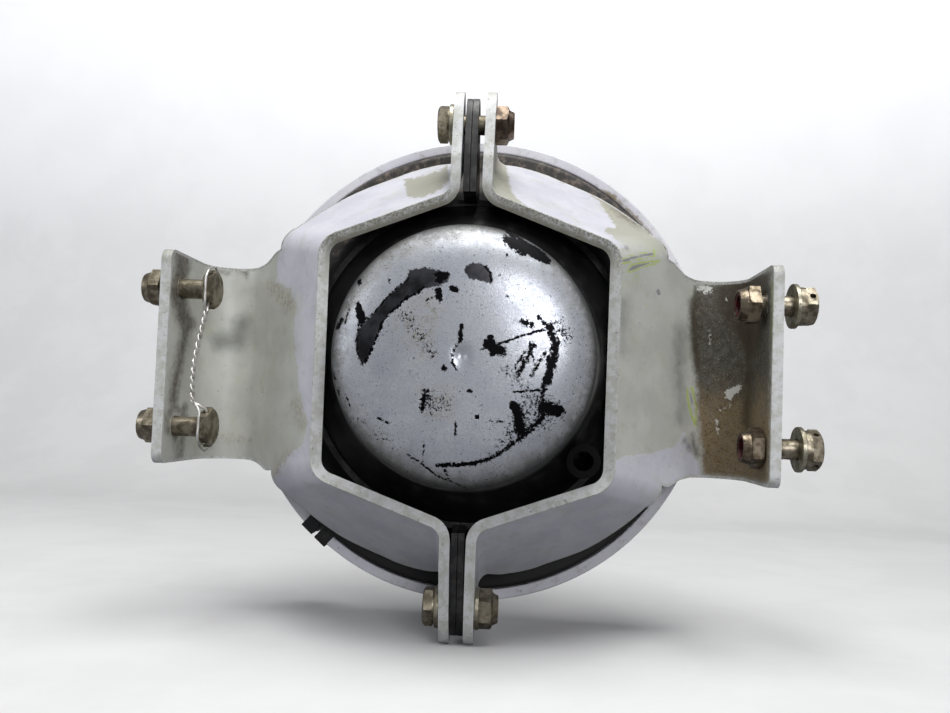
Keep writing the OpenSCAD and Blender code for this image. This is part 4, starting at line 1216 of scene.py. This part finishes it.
def build_ring():
    """The hooked band, with its split at the lower left."""
    y1 = FRONT_Y + RING_T
    profile = rounded([(LIP_R, RING_Y0), (RING_R, RING_Y0), (RING_R, y1),
                       (FRONT_LIP_R, y1), (FRONT_LIP_R, FRONT_Y),
                       (RING_R - RING_T, FRONT_Y), (RING_R - RING_T, RING_Y0 + RING_T),
                       (LIP_R, RING_Y0 + RING_T)], 0.7)
    points = []
    for k in range(RING_STEPS + 1):
        for r, y in profile:
            gap = math.asin(SPLIT_HALF / r)
            a = SPLIT_MID + gap + (2 * math.pi - 2 * gap) * k / RING_STEPS
            points.append((r * math.cos(a), y, r * math.sin(a)))
    n = len(profile)
    faces = grid_faces(RING_STEPS + 1, n, wrap=True)
    faces += [list(range(n)), list(range(RING_STEPS * n, RING_STEPS * n + n))]
    piece = add_object("ring_band", make_mesh("ring", points, faces))
    draw_marks(piece.data, WORN_RING)
    smooth(piece, angle=30)
    fit(piece, "retaining_ring")


# Lock wire
WIRE_R = 0.42
TWIST_R = 0.44
TWISTS = 5.5
STRAND_STEPS = 96
WIRE_SIDES = 10
# Bolt heads: half their width across flats, how far they stand off, how thick
FLAT = 11.1 / 2
HEAD_OFF = 8.2
HEAD_T = 3.4
LEFT_MID_Z = -SADDLE_DROP - (FLANGE_FACE_X + PLATE_T / 2) * math.sin(LEFT_LEAN)
UP_Z = LEFT_MID_Z + BOLT_SPACING / 2
LOW_Z = LEFT_MID_Z - BOLT_SPACING / 2
WIRE_X = HEAD_OFF - (FLANGE_FACE_X + LEFT_SHIFT) + HEAD_T / 2
LOW_X = WIRE_X + 1.3


def wire_course():
    """The one wire: through the lower head, up a strand of the twist, through and
    round the upper head, down the other strand, and round the lower head."""
    top = np.array((WIRE_X, -4.6, UP_Z - 7.4))
    low = np.array((WIRE_X - 2.4, -4.9, LOW_Z + 8))

    def strand(phase):
        line = []
        for i in range(STRAND_STEPS + 1):
            u = i / STRAND_STEPS
            a = 2 * math.pi * TWISTS * u + phase
            sag = math.sin(math.pi * u) * (0.4 + 0.6 * u)
            line.append(top + (low - top) * u + sag * np.array((-1.6, -0.5, 0))
                        + TWIST_R * np.array((math.cos(a), math.sin(a), 0)))
        return line

    hole = np.array((0, 0.5, math.sqrt(0.75)))
    up = np.array((WIRE_X, 0, UP_Z))
    over = [up - hole * (FLAT + 1.3), up - hole * (FLAT - 1), up, up + hole * (FLAT - 1),
            up + hole * (FLAT + 0.9)]
    over += [(WIRE_X, y, UP_Z + z) for y, z in (
        (2.1, FLAT + 1.5), (0.2, FLAT + 1.85), (-2, FLAT + 1.3), (-4.4, FLAT),
        (-FLAT - 0.75, 3.3), (-FLAT - 0.65, 0), (-FLAT - 0.6, -3), (-FLAT - 0.5, -5))]
    hole = hole * np.array((1, -1, 1))
    down = np.array((LOW_X, 0, LOW_Z))
    through = [down + hole * (FLAT + 1.2), down + hole * (FLAT - 1), down,
               down - hole * (FLAT - 1), down - hole * (FLAT + 1),
               (LOW_X, 3.6, LOW_Z - FLAT - 0.9)]
    around = [(LOW_X - 0.9, y, LOW_Z + z) for y, z in (
        (-FLAT - 0.4, 5), (-FLAT - 0.65, 3), (-FLAT - 0.65, 0), (-FLAT - 0.75, -3.3),
        (-4.4, -FLAT), (-2, -FLAT - 1.3), (0.2, -FLAT - 1.85), (2.1, -FLAT - 1.5))]
    return np.vstack((through[::-1], strand(0)[::-1], over, strand(math.pi), around))


def wire_tree(material):
    """Sweeps a round wire along every line of the mesh that it is given."""
    tree = bpy.data.node_groups.new("swept_wire", "GeometryNodeTree")
    for name, way, kind in (("Course", "INPUT", "Geometry"), ("Wire radius", "INPUT", "Float"),
                            ("Sides", "INPUT", "Int"), ("Wire", "OUTPUT", "Geometry")):
        tree.interface.new_socket(name, in_out=way, socket_type="NodeSocket" + kind)
    given = add(tree, "NodeGroupInput").node.outputs
    course = add(tree, "GeometryNodeMeshToCurve", {"Mesh": given["Course"]})
    section = add(tree, "GeometryNodeCurvePrimitiveCircle",
                  {"Radius": given["Wire radius"], "Resolution": given["Sides"]})
    tube = add(tree, "GeometryNodeCurveToMesh",
               {"Curve": course, "Profile Curve": section, "Fill Caps": True})
    even = add(tree, "GeometryNodeSetShadeSmooth", {"Geometry": tube})
    real = add(tree, "GeometryNodeRealizeInstances", {"Geometry": even})
    dressed = add(tree, "GeometryNodeSetMaterial", {"Geometry": real, "Material": material})
    add(tree, "NodeGroupOutput", {0: dressed})
    return tree


def build_wire():
    """The lock wire, swept along its course into one plain mesh."""
    line = curve_through(wire_course(), steps=2)
    mesh = bpy.data.meshes.new("wire_course")
    mesh.from_pydata((line * MM).tolist(), [(i, i + 1) for i in range(len(line) - 1)], [])
    piece = add_object("twisted_wire", mesh)
    tree = wire_tree(FINISHES["lock_wire"])
    sweep = piece.modifiers.new("sweep", "NODES")
    sweep.node_group = tree
    values = {"Wire radius": WIRE_R * MM, "Sides": WIRE_SIDES}
    for item in tree.interface.items_tree:
        if item.name in values:
            sweep[item.identifier] = values[item.name]
    settle(piece)
    fit(piece, "safety_wire")


# Small parts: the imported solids, merged, with their edges broken over this width
# in mm, or left sharp at 0
EDGE_BREAK = {
    "clamp_band_left": 0.3, "clamp_band_right": 0.3, "cable_grommet": 0.3,
    "upper_clamp_bolt": 0.13, "upper_clamp_washer": 0.2, "upper_clamp_nut": 0.13,
    "lower_clamp_bolt": 0.13, "lower_clamp_washers": 0.2, "lower_clamp_nut": 0.13,
    "left_mount_bolts": 0.13, "left_mount_nuts": 0.13,
    "right_upper_bolt": 0.13, "right_upper_washer": 0.22, "right_upper_nut": 0.13,
    "right_upper_insert": 0.15, "right_lower_bolt": 0.13, "right_lower_washer": 0.22,
    "right_lower_nut": 0.13, "right_lower_insert": 0.15, "ring_lug_left": 0.4,
    "ring_lug_right": 0.4, "ring_tension_screw": 0.09, "ring_tension_nut": 0.12,
    "rim_gasket": 0.2, "lamp_reflector": 0, "lamp_lens": 0, "filament": 0,
    "filament_supports": 0, "contact_ferrules": 0.15, "lamp_terminals": 0.15,
    "terminal_screws": 0.09,
}
# Degrees: faces within the first of each other are one flat face, and edges
# sharper than the second are broken
FLAT_ANGLE = 0.6
SHARP_ANGLE = 34


def build_small_part(node, width):
    """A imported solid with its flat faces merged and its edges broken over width."""
    mesh = NODES[node].data.copy()
    work = bmesh.new()
    work.from_mesh(mesh)
    bmesh.ops.remove_doubles(work, verts=work.verts, dist=MERGE * MM)
    if width:
        bmesh.ops.dissolve_limit(work, angle_limit=math.radians(FLAT_ANGLE), verts=work.verts,
                                 edges=work.edges)
    work.to_mesh(mesh)
    work.free()
    piece = add_object(node + "_finished", mesh)
    if width:
        break_edges(piece, width, segments=2, angle=SHARP_ANGLE)
    smooth(piece, SHARP_ANGLE)
    fit(piece, node)


# Stage, in metres: the floor lies just under the part
FLOOR_Z = cad_box[0][2] - 0.0004
FLOOR_END = -1.6
WALL_Y = 0.62
WALL_TOP = 2.2
SWEEP_R = 0.25
SWEEP_HALF_W = 2.5
# Name, place, size, watts and tint of each light
LIGHTS = [("key", (0.06, -0.24, 0.95), 0.8, 12.5, "#ffffff"),
          ("front", (0.40, -1.1, 0.35), 0.5, 4.6, "#fbfbff"),
          ("side", (-1.0, -0.45, 0.35), 0.5, 2.4, "#f8faff")]


def build_stage():
    """A pale sweep, whose floor rises into the wall in one curve, and the lights."""
    line = [(FLOOR_END, FLOOR_Z), (WALL_Y - SWEEP_R, FLOOR_Z)]
    line += [(WALL_Y - SWEEP_R + SWEEP_R * math.sin(a), FLOOR_Z + SWEEP_R * (1 - math.cos(a)))
             for a in np.radians(np.arange(6, 91, 6))]
    line.append((WALL_Y, WALL_TOP))
    points = [(x, y, z) for x in (-SWEEP_HALF_W, SWEEP_HALF_W) for y, z in line]
    n = len(line)
    mesh = bpy.data.meshes.new("sweep")
    mesh.from_pydata(points, [], [(i, i + n, i + n + 1, i + 1) for i in range(n - 1)])
    sweep = add_object("sweep", mesh)
    mesh.shade_smooth()
    material, tree = blank("pale_paper")
    seen = add(tree, "ShaderNodeLightPath", out="Is Camera Ray")
    pale = laid(tree, coat("#dcdcdb", 0.9), coat("#e0e0df", 0.9), patches(tree, 60, 0.4, 0.6))
    top = laid(tree, coat("#77777a", 0.9), pale, seen)
    lift = both(tree, seen, along_axis(tree, 2, -88, 500), 0.55)
    finish(tree, top, **{"Emission Color": linear("#e9ecf2"), "Emission Strength": lift})
    mesh.materials.append(material)
    for name, place, size, power, tint in LIGHTS:
        data = bpy.data.lights.new(name, "AREA")
        data.size = size
        data.energy = power
        data.color = linear(tint)[:3]
        lamp = add_object(name, data)
        lamp.location = place
        lamp.rotation_euler = (Vector((0, 0, 0)) - lamp.location).to_track_quat(
            "-Z", "Y").to_euler()
    world = bpy.data.worlds.new("studio")
    world.use_nodes = True
    glow = world.node_tree.nodes["Background"].inputs
    glow["Color"].default_value = linear("#dfe3ea")
    glow["Strength"].default_value = 0.17
    bpy.context.scene.world = world
    bpy.context.scene.view_settings.view_transform = "Standard"


FINISHES = all_finishes()
add_camera()
build_stage()
build_bracket("bracket_left", -1, LEFT_MARKS)
build_bracket("bracket_right", 1, RIGHT_MARKS)
build_housing()
build_ring()
build_wire()
for small_part, edge_width in EDGE_BREAK.items():
    build_small_part(small_part, edge_width)
